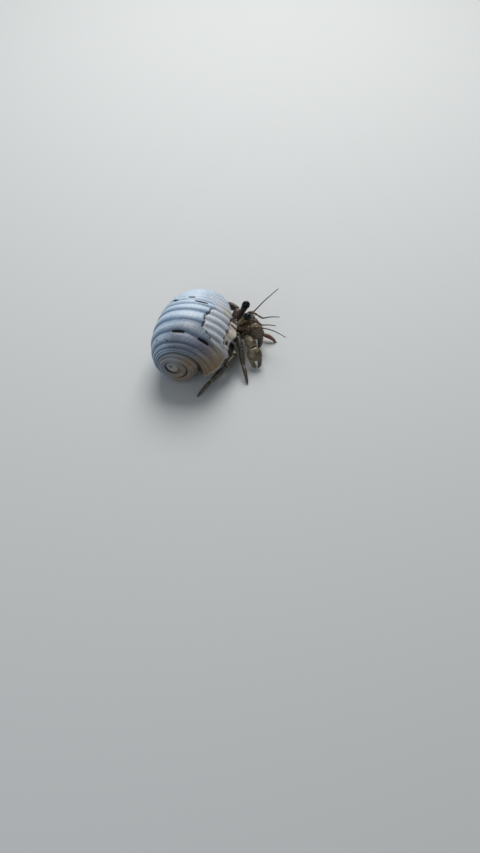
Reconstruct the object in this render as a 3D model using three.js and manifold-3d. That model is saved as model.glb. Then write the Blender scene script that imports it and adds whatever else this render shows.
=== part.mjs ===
// A land hermit crab walking in a borrowed tun-shaped snail shell, life size.
// Millimetres, +Z up. The crab faces +X, its left side is +Y, and the floor it stands on is z = 0.
import * as THREE from "three";
import { mergeVertices } from "three/addons/utils/BufferGeometryUtils.js";
import Module from "manifold-3d";

const wasm = await Module();
wasm.setup();

// ---- driving sizes ----------------------------------------------------------------------------
const GAP = 0.3; // clearance left between neighbouring pieces
const FLOOR_BITE = 0.12; // how far feet and shell are sunk before the floor trims them flat
const SIDES = 8; // facets round a limb
const FINEST = 0.01; // slivers left by the cuts are merged below this size
const MIDDLE = [4.07, 9.06]; // middle of the footprint, in the sizes below
const TURN = 2 * Math.PI;

// The shell is a logarithmic spiral: each whorl is GROWTH times the one before it.
const SHELL = {
  growth: 2.0,
  whorls: 3.2,
  apex: [-6.97, -2.9, 7.31], // tip of the spire
  yaw: (10.6 * Math.PI) / 180, // the spire points to the crab's right and a little back
  roll: (4.4 * Math.PI) / 180, // how far the outer lip is lifted off level
  midRadius: 6.8, // from the axis to the middle of the last whorl at the lip
  halfWidth: 5.27,
  midDrop: 12.85, // from the apex down the axis to the middle of the last whorl
  halfHeight: 13.14,
  lean: -0.11, // the whorl's long axis leans outwards at the shoulder
  wall: 0.9,
  cavityTurns: 0.86, // how far back from the lip the cavity is open
  cutPast: 0.4, // how far the cavity's cutting tool runs past the lip, in radians
  pinch: 1.5, // how much the whorl narrows half a turn back from the lip
  pinchAt: -3.35, // the narrowest place and how far the narrowing reaches, in radians
  pinchReach: 1.5,
  spireSet: [-0.8, -0.25, -0.75], // how far the spire's tip is set off the coil's own axis
  dome: 2.0, // how far the spire's whorls swell to meet the next one
  domeAt: 0.95, // middle of the swelling and its reach, as section angles
  domeReach: 0.75,
};
const RIB_HEIGHT = 0.4;
// Section angles of the grooves between the spiral ribs, from the base to the suture, in radians.
// The ribs are narrow on the base and broad on the shoulder.
const GROOVES = [
  -1.78, -1.62, -1.47, -1.33, -1.19, -1.05, -0.9, -0.75, -0.6, -0.45, -0.3, -0.13, 0.085, 0.41,
  0.79, 1.2, 1.47, 1.72,
];
const SHOULDER = 0.6; // section angle above which the spire's whorls show
const JOIN_MARGIN = 0.1; // radians
const END_CROWDING = 0.22; // how far smooth whorls' section angles are drawn to their sharp ends
const SPIRE_BLEND = 0.3; // radians on each side of one full turn over which the spire begins
const PINCH_SECTION = [1, 2.1]; // section angles between which the narrowing fades
const SET_OFF_SHARE = 0.8; // the spire is fully set off once a whorl has shrunk by this share
// The lip's edge: section angle, how far it reaches on past level in radians, and how far the
// broken edge beside the head flares outwards in mm.
const LIP = [
  [-3.14, 0, 0],
  [-1.6, 0.04, 0],
  [-0.9, 0.02, 0],
  [-0.5, -0.06, 0],
  [-0.32, -0.03, 0.3],
  [-0.12, 0.04, 1.05],
  [0.1, 0.02, 1.0],
  [0.3, 0, 0.4],
  [0.45, 0.05, 0.1],
  [0.56, 0.1, 0],
  [0.75, 0.06, 0],
  [0.95, 0.06, 0],
  [1.35, 0.11, 0],
  [1.76, 0.3, 0],
  [2.1, 0.3, 0],
  [2.6, 0.1, 0],
  [3.14, 0, 0],
];
const FLARE_RUN = 0.28; // the flare begins this far behind the lip, in radians

// ---- the body ---------------------------------------------------------------------------------
const HEAD = new THREE.Vector3(10.0, 12.0, 8.6); // front of the carapace
const PITCH = (26 * Math.PI) / 180; // the head is raised
const FORWARD = new THREE.Vector3(Math.cos(PITCH), 0, Math.sin(PITCH));
const LEFT = new THREE.Vector3(0, 1, 0);
const UP = new THREE.Vector3(-Math.sin(PITCH), 0, Math.cos(PITCH));
const BODY_LENGTH = 8;
const BODY_DEPTH = 2.4; // from the back of the carapace down to the middle of the body
const SHIELD_LENGTH = 5.6;
const SHIELD_DEPTH = 1.15;

/** A point given forward, left and up from the front of the carapace. */
const onBody = (forward, left, up) =>
  HEAD.clone()
    .addScaledVector(FORWARD, forward)
    .addScaledVector(LEFT, left)
    .addScaledVector(UP, up);

const COLOURS = {
  shell: "#cfc9bd",
  shield: "#6b5238",
  flesh: "#8f8262",
  claw: "#93805e",
  antenna: "#8a5630",
  abdomen: "#c08f72",
  eye: "#14110f",
  tip: "#7c4a30",
};

// ---- making solids ----------------------------------------------------------------------------
const lerp = THREE.MathUtils.lerp;
const smooth = (x) => THREE.MathUtils.smoothstep(x, 0, 1);

/** A round bump of height 1 over middle, gone at reach away. */
const bump = (x, middle, reach) => Math.max(0, 1 - ((x - middle) / reach) ** 2) ** 1.5;

/** Reads a table of [position, value, ...] rows at t, easing between rows. */
function along(rows, t, column = 1) {
  const last = rows.length - 1;
  let i = 0;
  while (i < last - 1 && t > rows[i + 1][0]) i += 1;
  const [a, b] = [rows[i], rows[i + 1]];
  const share = THREE.MathUtils.clamp((t - a[0]) / (b[0] - a[0]), 0, 1);
  return lerp(a[column], b[column], smooth(share));
}

/** A closed grid of a cylinder's triangles, each vertex moved to place(t, angle, rim). */
function wrap(sides, steps, place) {
  const grid = new THREE.CylinderGeometry(1, 1, 1, sides, steps, false);
  const position = grid.getAttribute("position");
  for (let i = 0; i < position.count; i += 1) {
    const [x, y, z] = [position.getX(i), position.getY(i), position.getZ(i)];
    const p = place(y + 0.5, Math.atan2(x, z), Math.hypot(x, z));
    position.setXYZ(i, p.x, p.y, p.z);
  }
  grid.deleteAttribute("normal");
  grid.deleteAttribute("uv");
  return grid;
}

/** The manifold solid of a closed geometry, its faces turned outwards. */
function solid(geometry) {
  const merged = mergeVertices(geometry, 1e-4);
  const triVerts = new Uint32Array(merged.index.array);
  const make = () =>
    new wasm.Manifold(
      new wasm.Mesh({
        numProp: 3,
        vertProperties: new Float32Array(merged.attributes.position.array),
        triVerts,
      }),
    );
  const made = make();
  if (made.volume() > 0) return made;
  for (let i = 0; i < triVerts.length; i += 3)
    [triVerts[i + 1], triVerts[i + 2]] = [triVerts[i + 2], triVerts[i + 1]];
  return make();
}

/** The largest single body of a solid, so that a cut leaves no crumbs. */
const mainBody = (made) =>
  made.decompose().reduce((a, b) => (a.volume() > b.volume() ? a : b));

/** A solid limb along a curve. rows are [t, half height, half width]; grow thickens it all round. */
function limb(points, rows, hinge, { grow = 0, sides = SIDES, steps = 4, bow = 0 } = {}) {
  const ends = points.map((p) => new THREE.Vector3(...p));
  const curve =
    ends.length > 2
      ? new THREE.CatmullRomCurve3(ends, false, "centripetal")
      : new THREE.LineCurve3(...ends);
  const side = new THREE.Vector3(...hinge).normalize();
  const length = curve.getLength();
  return solid(
    wrap(sides, steps, (t, angle, rim) => {
      const share = lerp(-grow / length, 1 + grow / length, t);
      const at = THREE.MathUtils.clamp(share, 0, 1);
      const direction = curve.getTangentAt(at);
      const across = side.clone().addScaledVector(direction, -side.dot(direction)).normalize();
      const tall = new THREE.Vector3().crossVectors(across, direction);
      return curve
        .getPointAt(at)
        .addScaledVector(direction, (share - at) * length)
        .addScaledVector(tall, bow * Math.sin(Math.PI * at))
        .addScaledVector(tall, Math.cos(angle) * rim * (along(rows, at, 1) + grow))
        .addScaledVector(across, Math.sin(angle) * rim * (along(rows, at, 2) + grow));
    }),
  );
}

/** A box given by its middle, axes and half sizes, as a solid. */
function block(middle, axes, half) {
  const box = new THREE.BoxGeometry(2 * half[0], 2 * half[1], 2 * half[2]);
  box.deleteAttribute("normal");
  box.deleteAttribute("uv");
  box.applyMatrix4(new THREE.Matrix4().makeBasis(...axes).setPosition(middle));
  return solid(box);
}

const WORLD_AXES = [
  new THREE.Vector3(1, 0, 0),
  new THREE.Vector3(0, 1, 0),
  new THREE.Vector3(0, 0, 1),
];
const UNDER_FLOOR = block(new THREE.Vector3(0, 0, -20), WORLD_AXES, [80, 80, 20]);

const crab = new THREE.Group();

/** Adds a solid to the model as a named mesh placed at its own anchor point. */
function addPiece(name, made, anchor, colour, roughness = 0.6) {
  const source = mainBody(made.simplify(FINEST)).getMesh();
  const positions = new Float32Array(source.numVert * 3);
  for (let i = 0; i < source.numVert; i += 1)
    for (let k = 0; k < 3; k += 1)
      positions[3 * i + k] = source.vertProperties[i * source.numProp + k] - anchor[k];
  const geometry = new THREE.BufferGeometry()
    .setAttribute("position", new THREE.BufferAttribute(positions, 3))
    .setIndex(new THREE.BufferAttribute(new Uint32Array(source.triVerts), 1));
  geometry.computeVertexNormals();
  const material = new THREE.MeshStandardMaterial({ color: colour, roughness, metalness: 0 });
  const mesh = new THREE.Mesh(geometry, material);
  mesh.name = name;
  mesh.position.set(...anchor);
  crab.add(mesh);
}

// ---- the shell --------------------------------------------------------------------------------
const AXIS = new THREE.Vector3(-Math.sin(SHELL.yaw), -Math.cos(SHELL.yaw), 0);
const LEVEL = new THREE.Vector3(Math.cos(SHELL.yaw), -Math.sin(SHELL.yaw), 0);
const OUT = LEVEL.clone().multiplyScalar(Math.cos(SHELL.roll));
OUT.z = Math.sin(SHELL.roll);
const ONWARD = new THREE.Vector3().crossVectors(OUT, AXIS); // the way the whorl grows at the lip
const APEX = new THREE.Vector3(...SHELL.apex);
const SPIRE_SET = new THREE.Vector3(...SHELL.spireSet);

/** A section angle brought between minus and plus half a turn. */
const wrapAngle = (phi) => Math.atan2(Math.sin(phi), Math.cos(phi));

/** Height of the spiral ribs at a section angle: a crest between each two grooves. */
function ribHeight(phi) {
  const next = GROOVES.findIndex((groove) => groove > phi);
  if (next < 1) return 0;
  const share = (phi - GROOVES[next - 1]) / (GROOVES[next] - GROOVES[next - 1]);
  return RIB_HEIGHT * Math.sin(Math.PI * share);
}

/** How far the lip's broken edge stands out at a spiral angle and a section angle. */
function flareHeight(theta, phi) {
  const run = Math.max(0, (theta + FLARE_RUN) / FLARE_RUN);
  return along(LIP, phi, 2) * run * run;
}

/** A point of the shell: theta is 0 at the lip and falls inwards, phi turns round the whorl. */
function shellPoint(theta, phi, { inset = 0, ribs = 1, rim = 1 } = {}) {
  const scale = SHELL.growth ** (theta / TURN);
  const onSpire = smooth((-TURN + SPIRE_BLEND - theta) / (2 * SPIRE_BLEND));
  const swelling = SHELL.dome * onSpire * bump(phi, SHELL.domeAt, SHELL.domeReach);
  const thick = ribs * ribHeight(phi) + flareHeight(theta, phi) + swelling - inset / scale;
  const dr = (SHELL.halfWidth + thick) * rim * Math.cos(phi);
  const dz = (SHELL.halfHeight + thick) * rim * Math.sin(phi);
  const [c, s] = [Math.cos(SHELL.lean), Math.sin(SHELL.lean)];
  const [inner, outer] = PINCH_SECTION;
  const outside = rim * smooth((outer - Math.abs(phi)) / (outer - inner));
  const pinch = SHELL.pinch * outside * bump(theta, SHELL.pinchAt, SHELL.pinchReach);
  const radius = scale * (SHELL.midRadius + dr * c - dz * s) - pinch;
  const height = scale * (-SHELL.midDrop + dr * s + dz * c);
  return APEX.clone()
    .addScaledVector(SPIRE_SET, smooth((1 - scale) / SET_OFF_SHARE))
    .addScaledVector(AXIS, height)
    .addScaledVector(OUT, radius * Math.cos(theta))
    .addScaledVector(ONWARD, radius * Math.sin(theta));
}

/** Section angles: a vertex in each groove from ribFrom up and on each crest, and plain others. */
function sectionAngles(ribFrom, plain) {
  const grooves = GROOVES.filter((groove) => groove >= ribFrom);
  const [low, high] = [grooves[0], grooves.at(-1)];
  const ribbed = grooves.slice(0, -1).flatMap((groove, i) => [groove, (groove + grooves[i + 1]) / 2]);
  const others = Array.from({ length: plain }, (_, i) => lerp(high, low + TURN, i / plain));
  return [...ribbed, ...others].map(wrapAngle);
}

/** Section angles of a whorl without ribs, crowded round its two sharp ends. */
const plainAngles = (count) =>
  Array.from({ length: count }, (_, i) => {
    const turn = (TURN * (i + 0.5)) / count;
    return wrapAngle(turn + END_CROWDING * Math.sin(2 * turn));
  });

/** A length of whorl from one spiral angle to another, as a closed solid. */
function whorl(from, to, steps, angles, options = {}) {
  const sides = angles.length;
  return solid(
    wrap(sides, steps, (t, angle, rim) => {
      const index = Math.round(((angle + TURN) % TURN) / (TURN / sides)) % sides;
      const phi = angles[index];
      const shape = { ...options, rim };
      const end = options.lip ? to + rim * along(LIP, phi) : to;
      return shellPoint(lerp(from, end, t), phi, shape);
    }),
  );
}

function makeShell() {
  const half = TURN / 2;
  const join = -TURN + SHELL.cutPast + JOIN_MARGIN; // where the spire takes over from the whorl
  const ribbed = sectionAngles(-half, 5);
  const lastWhorl = whorl(-half, 0, 8, ribbed, { lip: true }).add(whorl(join, -half, 5, ribbed));
  let spire = whorl(-TURN, join, 1, ribbed).add(
    whorl(-TURN - half, -TURN, 6, sectionAngles(SHOULDER, 7)),
  );
  for (let i = 3; i < 2 * SHELL.whorls; i += 1)
    spire = spire.add(whorl(-half * (i + 1), -half * i, 5, plainAngles(10)));
  const cavity = whorl(-SHELL.cavityTurns * TURN, SHELL.cutPast, 10, plainAngles(16), {
    inset: SHELL.wall,
    ribs: 0,
  }).subtract(spire);
  return lastWhorl.add(spire).subtract(cavity).subtract(UNDER_FLOOR);
}
addPiece("shell", makeShell(), SHELL.apex, COLOURS.shell, 0.45);

// ---- the soft abdomen, coiled inside the shell -------------------------------------------------
function makeAbdomen() {
  const spireRoom = whorl(-2 * TURN, -TURN + SHELL.cutPast, 16, plainAngles(14), {
    inset: -GAP - RIB_HEIGHT,
    ribs: 0,
  });
  const lengths = [
    ["abdomen_front", -0.95, -0.2],
    ["abdomen_middle", -2.5, -0.98],
    ["abdomen_tail", -4.1, -2.53],
  ];
  return lengths.map(([name, from, to]) => [
    name,
    whorl(from, to, 5, plainAngles(12), {
      inset: SHELL.wall + GAP + 0.25,
      ribs: 0,
    }).subtract(spireRoom),
    shellPoint((from + to) / 2, 0).toArray(),
  ]);
}
for (const [name, made, anchor] of makeAbdomen())
  addPiece(name, made, anchor, COLOURS.abdomen, 0.5);

// ---- head and thorax --------------------------------------------------------------------------
// The whole cephalothorax is one tapering body, parted by a thin cut under the hard front shield.
const BODY_ROWS = [
  [0, 1.0, 1.1],
  [0.1, 1.7, 1.8],
  [0.4, 2.3, 2.7],
  [0.78, 2.1, 2.4],
  [0.94, 1.5, 1.8],
  [1, 0.5, 0.9],
];
const bodyPoints = [
  onBody(-BODY_LENGTH, 0, -BODY_DEPTH).toArray(),
  onBody(0, 0, -BODY_DEPTH + 0.6).toArray(),
];
const makeBody = (grow) =>
  limb(bodyPoints, BODY_ROWS, LEFT.toArray(), { grow, sides: 14, steps: 9 });
const wholeBody = makeBody(0);
const bodyRoom = makeBody(GAP);

const shieldBox = (grow) =>
  block(
    onBody(3 - SHIELD_LENGTH, 0, 5 - SHIELD_DEPTH),
    [FORWARD, LEFT, UP],
    [3 + grow, 6, 5 + grow],
  );
addPiece(
  "carapace_shield",
  wholeBody.intersect(shieldBox(0)),
  HEAD.toArray(),
  COLOURS.shield,
  0.5,
);
addPiece(
  "thorax",
  wholeBody.subtract(shieldBox(GAP)),
  onBody(-BODY_LENGTH / 2, 0, -BODY_DEPTH).toArray(),
  COLOURS.flesh,
);

// The waist is the bent length of abdomen between the thorax and the shell's mouth.
const WAIST = [
  [4.6, 12, 3.3],
  [2.6, 11.8, 4],
  [2, 11.2, 6.4],
  [3.2, 10.4, 9.4],
];
const WAIST_ROWS = [
  [0, 1.2, 1.3],
  [0.35, 1.9, 2.1],
  [1, 2.3, 2.6],
];
const frontRoom = whorl(-1.2, -0.2 + 0.08, 6, plainAngles(12), {
  inset: SHELL.wall + 0.2,
  ribs: 0,
});
addPiece(
  "abdomen_waist",
  limb(WAIST, WAIST_ROWS, LEFT.toArray(), { sides: 12, steps: 6 })
    .subtract(bodyRoom)
    .subtract(frontRoom),
  WAIST[1],
  COLOURS.abdomen,
);

// ---- eyes -------------------------------------------------------------------------------------
const EYE_ROWS = [
  [0, 0.7, 0.55],
  [0.4, 0.78, 0.6],
  [0.74, 1.12, 0.88],
  [0.9, 1.08, 0.88],
  [1, 0.5, 0.42],
];
const EYES = {
  right: { foot: [9.2, 11.2, 8.0], tip: [11.9, 9.9, 12.9] },
  left: { foot: [8.9, 12.9, 8.1], tip: [11.5, 14.0, 13.6] },
};
const CORNEA_SHARE = 0.62; // where the black cornea begins along the stalk
for (const [side, { foot, tip }] of Object.entries(EYES)) {
  const axis = new THREE.Vector3(...tip).sub(new THREE.Vector3(...foot)).normalize();
  const start = new THREE.Vector3(...foot).lerp(new THREE.Vector3(...tip), CORNEA_SHARE);
  const eye = limb([foot, tip], EYE_ROWS, [0, 1, 0], { steps: 7 });
  const across = new THREE.Vector3(0, 1, 0).cross(axis).normalize();
  const axes = [axis, across, new THREE.Vector3().crossVectors(axis, across)];
  const far = (shift) => block(start.clone().addScaledVector(axis, 4 + shift), axes, [4, 3, 3]);
  addPiece(`eyestalk_${side}`, eye.subtract(far(-GAP)).subtract(bodyRoom), foot, COLOURS.shield);
  addPiece(`eye_${side}`, eye.intersect(far(0)), start.toArray(), COLOURS.eye, 0.15);
}

// ---- limbs with several joints ------------------------------------------------------------------
/** The side a limb's joints hinge about: level, and square to the way the limb reaches. */
function hingeOf(joints) {
  const reach = new THREE.Vector3(...joints.at(-1)).sub(new THREE.Vector3(...joints[0]));
  return new THREE.Vector3(0, 0, 1).cross(reach).normalize().toArray();
}

/** Builds a chain of segments, each cut clear of the one before it and of the body. */
function addChain(name, segments, hinge, body = bodyRoom) {
  let room = body;
  for (const { part, points, rows, colour, bow, sides } of segments) {
    const shape = (grow) => limb(points, rows, hinge, { grow, bow, sides });
    const made = shape(0).subtract(room).subtract(UNDER_FLOOR);
    addPiece(`${name}_${part}`, made, points[0], colour);
    room = shape(GAP).add(body);
  }
  return room;
}

// Walking legs: hip, knee, carpus end, propodus end and claw tip. The tips stand on the floor.
const LEG_JOINTS = {
  leg2_right: [
    [8, 9.8, 3.3],
    [8.9, 7.4, 7.3],
    [9.6, 4.7, 5.8],
    [10.3, 1, 2.9],
    [11.5, -3.3, 0],
  ],
  leg3_right: [
    [6.5, 9.3, 2.4],
    [8, 2.4, 5],
    [5.7, -1.1, 4.7],
    [1.9, -4.4, 2.9],
    [-1.9, -7.5, 0],
  ],
  leg2_left: [
    [8.6, 14.1, 3.2],
    [11, 16.8, 5.9],
    [13.2, 16, 5],
    [15.8, 13, 1.9],
    [19.6, 11.6, 0],
  ],
  leg3_left: [
    [6.4, 14.4, 3],
    [9, 18.7, 6],
    [6, 21.3, 4.9],
    [3.1, 23.9, 2.7],
    [0.2, 25.6, 0],
  ],
};
const LEG_PARTS = [
  {
    part: "merus",
    rows: [
      [0, 0.8, 0.65],
      [0.5, 1.4, 1],
      [0.9, 1.3, 0.95],
      [1, 0.85, 0.7],
    ],
    colour: COLOURS.flesh,
  },
  {
    part: "carpus",
    rows: [
      [0, 0.7, 0.6],
      [0.6, 1.15, 0.9],
      [0.9, 1.1, 0.85],
      [1, 0.7, 0.6],
    ],
    colour: COLOURS.flesh,
  },
  {
    part: "propodus",
    rows: [
      [0, 0.65, 0.55],
      [0.4, 1, 0.78],
      [0.9, 0.78, 0.62],
      [1, 0.5, 0.42],
    ],
    colour: COLOURS.flesh,
  },
  {
    part: "dactyl",
    rows: [
      [0, 0.5, 0.42],
      [0.3, 0.72, 0.55],
      [0.75, 0.48, 0.4],
      [1, 0.25, 0.25],
    ],
    bow: -0.45, // how far the middle is bowed, in mm: upwards where it is negative
    colour: COLOURS.tip,
  },
];
for (const [name, joints] of Object.entries(LEG_JOINTS)) {
  const tip = [...joints[4].slice(0, 2), -FLOOR_BITE];
  const ends = [...joints.slice(0, 4), tip];
  addChain(
    name,
    LEG_PARTS.map((part, i) => ({ ...part, points: [ends[i], ends[i + 1]] })),
    hingeOf(joints),
  );
}

// Chelipeds: hip, knee, wrist and fingertip. The left one is the larger, as in the living animal.
const CHELIPEDS = {
  right: {
    joints: [
      [9.9, 10.5, 4.4],
      [11, 8.3, 6.5],
      [12.9, 5.2, 5.3],
      [14.2, 1.9, 0.5],
    ],
    palm: [2.1, 1.4],
    finger: 0.6,
  },
  left: {
    joints: [
      [9.7, 13.6, 4.6],
      [11.6, 14.4, 6.4],
      [13.4, 13, 6.6],
      [14.3, 9, 0.5],
    ],
    palm: [2.15, 1.5],
    finger: 0.75,
  },
};
const PALM_SHARE = 0.62; // palm's share of the claw's length, the fingers having the rest
for (const [side, { joints, palm, finger }] of Object.entries(CHELIPEDS)) {
  const [, , wrist, tip] = joints.map((p) => new THREE.Vector3(...p));
  const [height, width] = palm;
  const direction = tip.clone().sub(wrist).normalize();
  const front = new THREE.Vector3(1, 0, 0).addScaledVector(direction, -direction.x).normalize();
  const face = new THREE.Vector3().crossVectors(front, direction);
  const knuckle = wrist.clone().lerp(tip, PALM_SHARE - 0.08);
  const fingerPoints = (offset) => [
    knuckle.clone().addScaledVector(front, offset * height * 0.55).toArray(),
    wrist.clone().lerp(tip, 0.86).addScaledVector(front, offset * height * 0.36).toArray(),
    tip.clone().addScaledVector(front, offset * 0.22).toArray(),
  ];
  const fingerRows = [
    [0, 1.15 * finger, 1.1 * finger],
    [0.6, 0.85 * finger, 0.85 * finger],
    [1, 0.35 * finger, 0.4 * finger],
  ];
  const fingerLimb = (offset, grow) =>
    limb(fingerPoints(offset), fingerRows, face.toArray(), { grow });
  const clawRows = [
    [0, 0.4 * height, 0.6 * width],
    [0.25, 0.85 * height, 0.95 * width],
    [0.7, height, width],
    [1, 0.55 * height, 0.65 * width],
  ];
  const palmPoints = [wrist.toArray(), wrist.clone().lerp(tip, PALM_SHARE).toArray()];
  const arm = (k) => 0.62 * Math.sqrt(height * width) * k;
  const room = addChain(
    `cheliped_${side}`,
    [
      {
        part: "merus",
        points: [joints[0], joints[1]],
        rows: [
          [0, arm(0.7), arm(0.6)],
          [0.6, arm(1.3), arm(1.0)],
          [1, arm(0.85), arm(0.7)],
        ],
        colour: COLOURS.flesh,
      },
      {
        part: "carpus",
        points: [joints[1], joints[2]],
        rows: [
          [0, arm(0.7), arm(0.6)],
          [0.65, arm(1.35), arm(1.1)],
          [1, arm(0.8), arm(0.7)],
        ],
        colour: COLOURS.claw,
      },
    ],
    face.toArray(),
  );
  const palmSolid = limb(palmPoints, clawRows, face.toArray(), { steps: 5, sides: 10 })
    .add(fingerLimb(-1, 0))
    .subtract(fingerLimb(1, GAP))
    .subtract(room)
    .subtract(UNDER_FLOOR);
  addPiece(`cheliped_${side}_palm`, palmSolid, wrist.toArray(), COLOURS.claw, 0.45);
  addPiece(
    `cheliped_${side}_finger`,
    fingerLimb(1, 0).subtract(UNDER_FLOOR),
    fingerPoints(1)[0],
    COLOURS.tip,
    0.4,
  );
}

// ---- mouthparts, feelers and the small hind legs -------------------------------------------------
const JAW_ROWS = [
  [0, 0.5, 0.45],
  [0.5, 0.66, 0.56],
  [1, 0.38, 0.34],
];
const HIND_ROWS = [
  [0, 0.5, 0.45],
  [0.5, 0.6, 0.5],
  [1, 0.35, 0.35],
];
const SMALL_LIMBS = {
  maxilliped_right: {
    points: [
      [9.9, 11.3, 5.9],
      [10.9, 11.3, 5],
      [11.1, 11, 2.9],
    ],
    rows: JAW_ROWS,
  },
  maxilliped_left: {
    points: [
      [9.9, 12.7, 5.9],
      [10.8, 12.6, 4.8],
      [11, 12.3, 2.7],
    ],
    rows: JAW_ROWS,
  },
  leg4_right: {
    points: [
      [5.2, 9.6, 3.4],
      [4.4, 7.4, 5.2],
      [3.6, 5.6, 4.6],
      [4.2, 4.4, 3.6],
    ],
    rows: HIND_ROWS,
  },
  leg4_left: {
    points: [
      [5.2, 14.4, 3.4],
      [4.4, 16.2, 5.2],
      [3.8, 17.8, 4.8],
      [4.4, 18.9, 3.8],
    ],
    rows: HIND_ROWS,
  },
};
for (const [name, { points, rows }] of Object.entries(SMALL_LIMBS)) {
  const made = limb(points, rows, LEFT.toArray(), { steps: 5 }).subtract(bodyRoom);
  addPiece(name, made, points[0], COLOURS.flesh);
}

const FEELERS = {
  antenna_right: {
    peduncle: {
      points: [
        [9.2, 10.2, 7.2],
        [11.6, 9.7, 7.9],
        [14.4, 9.9, 8.1],
      ],
      radii: [0.62, 0.54, 0.42],
    },
    flagellum: {
      points: [
        [14.4, 9.9, 8.1],
        [18.2, 9.1, 7.7],
        [21.8, 7.4, 6.8],
      ],
      radii: [0.3, 0.27, 0.25],
    },
  },
  antenna_left: {
    peduncle: {
      points: [
        [9.2, 13.8, 7.2],
        [11.2, 14.4, 8.2],
        [13.1, 14.5, 9.2],
      ],
      radii: [0.62, 0.54, 0.42],
    },
    flagellum: {
      points: [
        [13.1, 14.5, 9.2],
        [16.2, 16.6, 11.5],
        [19.8, 18.4, 14.1],
      ],
      radii: [0.3, 0.27, 0.25],
    },
  },
  antennule_right: {
    peduncle: {
      points: [
        [10, 11.5, 7.2],
        [12.6, 11.3, 9.4],
        [15.4, 10.2, 8.6],
      ],
      radii: [0.4, 0.36, 0.3],
    },
    flagellum: {
      points: [
        [15.4, 10.2, 8.6],
        [17.2, 10, 8.9],
        [19, 9.6, 9],
      ],
      radii: [0.28, 0.27, 0.25],
    },
  },
  antennule_left: {
    peduncle: {
      points: [
        [10, 12.5, 7.2],
        [12.2, 13, 10.6],
        [15.6, 11.6, 9.8],
      ],
      radii: [0.4, 0.36, 0.3],
    },
    flagellum: {
      points: [
        [15.6, 11.6, 9.8],
        [17.6, 11.5, 10.4],
        [20, 11.3, 10.6],
      ],
      radii: [0.28, 0.27, 0.25],
    },
  },
};
for (const [name, parts] of Object.entries(FEELERS)) {
  addChain(
    name,
    Object.entries(parts).map(([part, { points, radii }]) => ({
      part,
      points,
      rows: radii.map((r, i) => [i / 2, r, r]),
      sides: 6,
      colour: COLOURS.antenna,
    })),
    LEFT.toArray(),
  );
}

// The origin is the middle of the model's footprint on the floor.
crab.position.set(-MIDDLE[0], -MIDDLE[1], 0);

export default crab;
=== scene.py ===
"""A land hermit crab walking in a borrowed tun shell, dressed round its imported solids.

Everything is modelled at one unit to the millimetre, with +X the way the crab faces, +Y its left
and the floor at z = 0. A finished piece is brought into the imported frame, in metres, by deliver().
"""

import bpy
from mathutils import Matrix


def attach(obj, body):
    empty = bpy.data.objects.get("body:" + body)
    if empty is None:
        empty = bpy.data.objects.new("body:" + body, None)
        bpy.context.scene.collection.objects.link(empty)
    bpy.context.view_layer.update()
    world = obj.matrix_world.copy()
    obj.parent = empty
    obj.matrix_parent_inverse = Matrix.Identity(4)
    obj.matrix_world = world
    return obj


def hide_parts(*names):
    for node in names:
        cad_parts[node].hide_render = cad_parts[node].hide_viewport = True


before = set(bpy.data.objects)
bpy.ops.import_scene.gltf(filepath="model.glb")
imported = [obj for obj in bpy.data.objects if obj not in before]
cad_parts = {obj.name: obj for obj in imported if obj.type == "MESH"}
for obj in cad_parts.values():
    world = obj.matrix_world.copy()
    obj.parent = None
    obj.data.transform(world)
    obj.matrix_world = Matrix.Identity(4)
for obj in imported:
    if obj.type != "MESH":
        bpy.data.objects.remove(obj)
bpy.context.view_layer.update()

import logging
import math
from collections.abc import Callable, Iterator, Sequence
from contextlib import contextmanager
from dataclasses import dataclass, field
from enum import Enum
from functools import cache
from typing import Protocol

import bmesh
import bpy
import numpy as np
from mathutils import Euler, Matrix, Vector, noise

log = logging.getLogger("hermit_crab")

Vec = tuple[float, float, float]
Rows = Sequence[tuple[float, ...]]
Object = bpy.types.Object
Material = bpy.types.Material
Tree = bpy.types.NodeTree
Node = bpy.types.Node
Socket = bpy.types.NodeSocket

TURN = 2 * math.pi
MM = 0.001
MIDDLE = Vector((4.07, 9.06, 0.0))  # middle of the footprint, taken off as the pieces are delivered
JUST_OVER_FLOOR = 0.02  # mm


class Slot(Enum):
    """The record's finishes."""

    SHELL = "shell"
    CORNEA = "cornea"
    SOFT_SKIN = "soft_skin"
    SHIELD = "shield"
    FEELER = "feeler"
    CLAW = "claw"
    LEG_TIP = "leg_tip"
    LIMB = "limb"


class Side(Enum):
    """The crab's own sides, with the sign of Y on each."""

    RIGHT = -1
    LEFT = 1

    @property
    def label(self) -> str:
        """The side's name as the solids have it."""
        return self.name.lower()


class Finish(Protocol):
    """What a piece is dressed in: a named material that can be built."""

    name: str

    def build(self) -> Material:
        """Builds the material."""


# ---- working on meshes --------------------------------------------------------------------------


def smoothstep(low: float, high: float, x: np.ndarray) -> np.ndarray:
    """Eases from 0 at low to 1 at high."""
    t = np.clip((x - low) / (high - low), 0, 1)
    return t * t * (3 - 2 * t)


def bump_at(x: np.ndarray, middle: float, half: float) -> np.ndarray:
    """A round bump of height 1 over middle, gone at half away."""
    return np.clip(1 - ((x - middle) / half) ** 2, 0, 1) ** 1.5


def along(rows: Rows, t: np.ndarray, column: int = 1) -> np.ndarray:
    """Reads a table at t, easing between its rows.

    Args:
        rows: Position first, then one or more values.
        t: Positions to read at.
        column: Which value.

    Returns:
        The values at t.
    """
    table = np.array(rows, float)
    at = np.clip(np.asarray(t, float), table[0, 0], table[-1, 0])
    i = np.clip(np.searchsorted(table[:, 0], at, side="right") - 1, 0, len(table) - 2)
    share = smoothstep(table[i, 0], table[i + 1, 0], at)
    return table[i, column] + share * (table[i + 1, column] - table[i, column])


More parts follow.
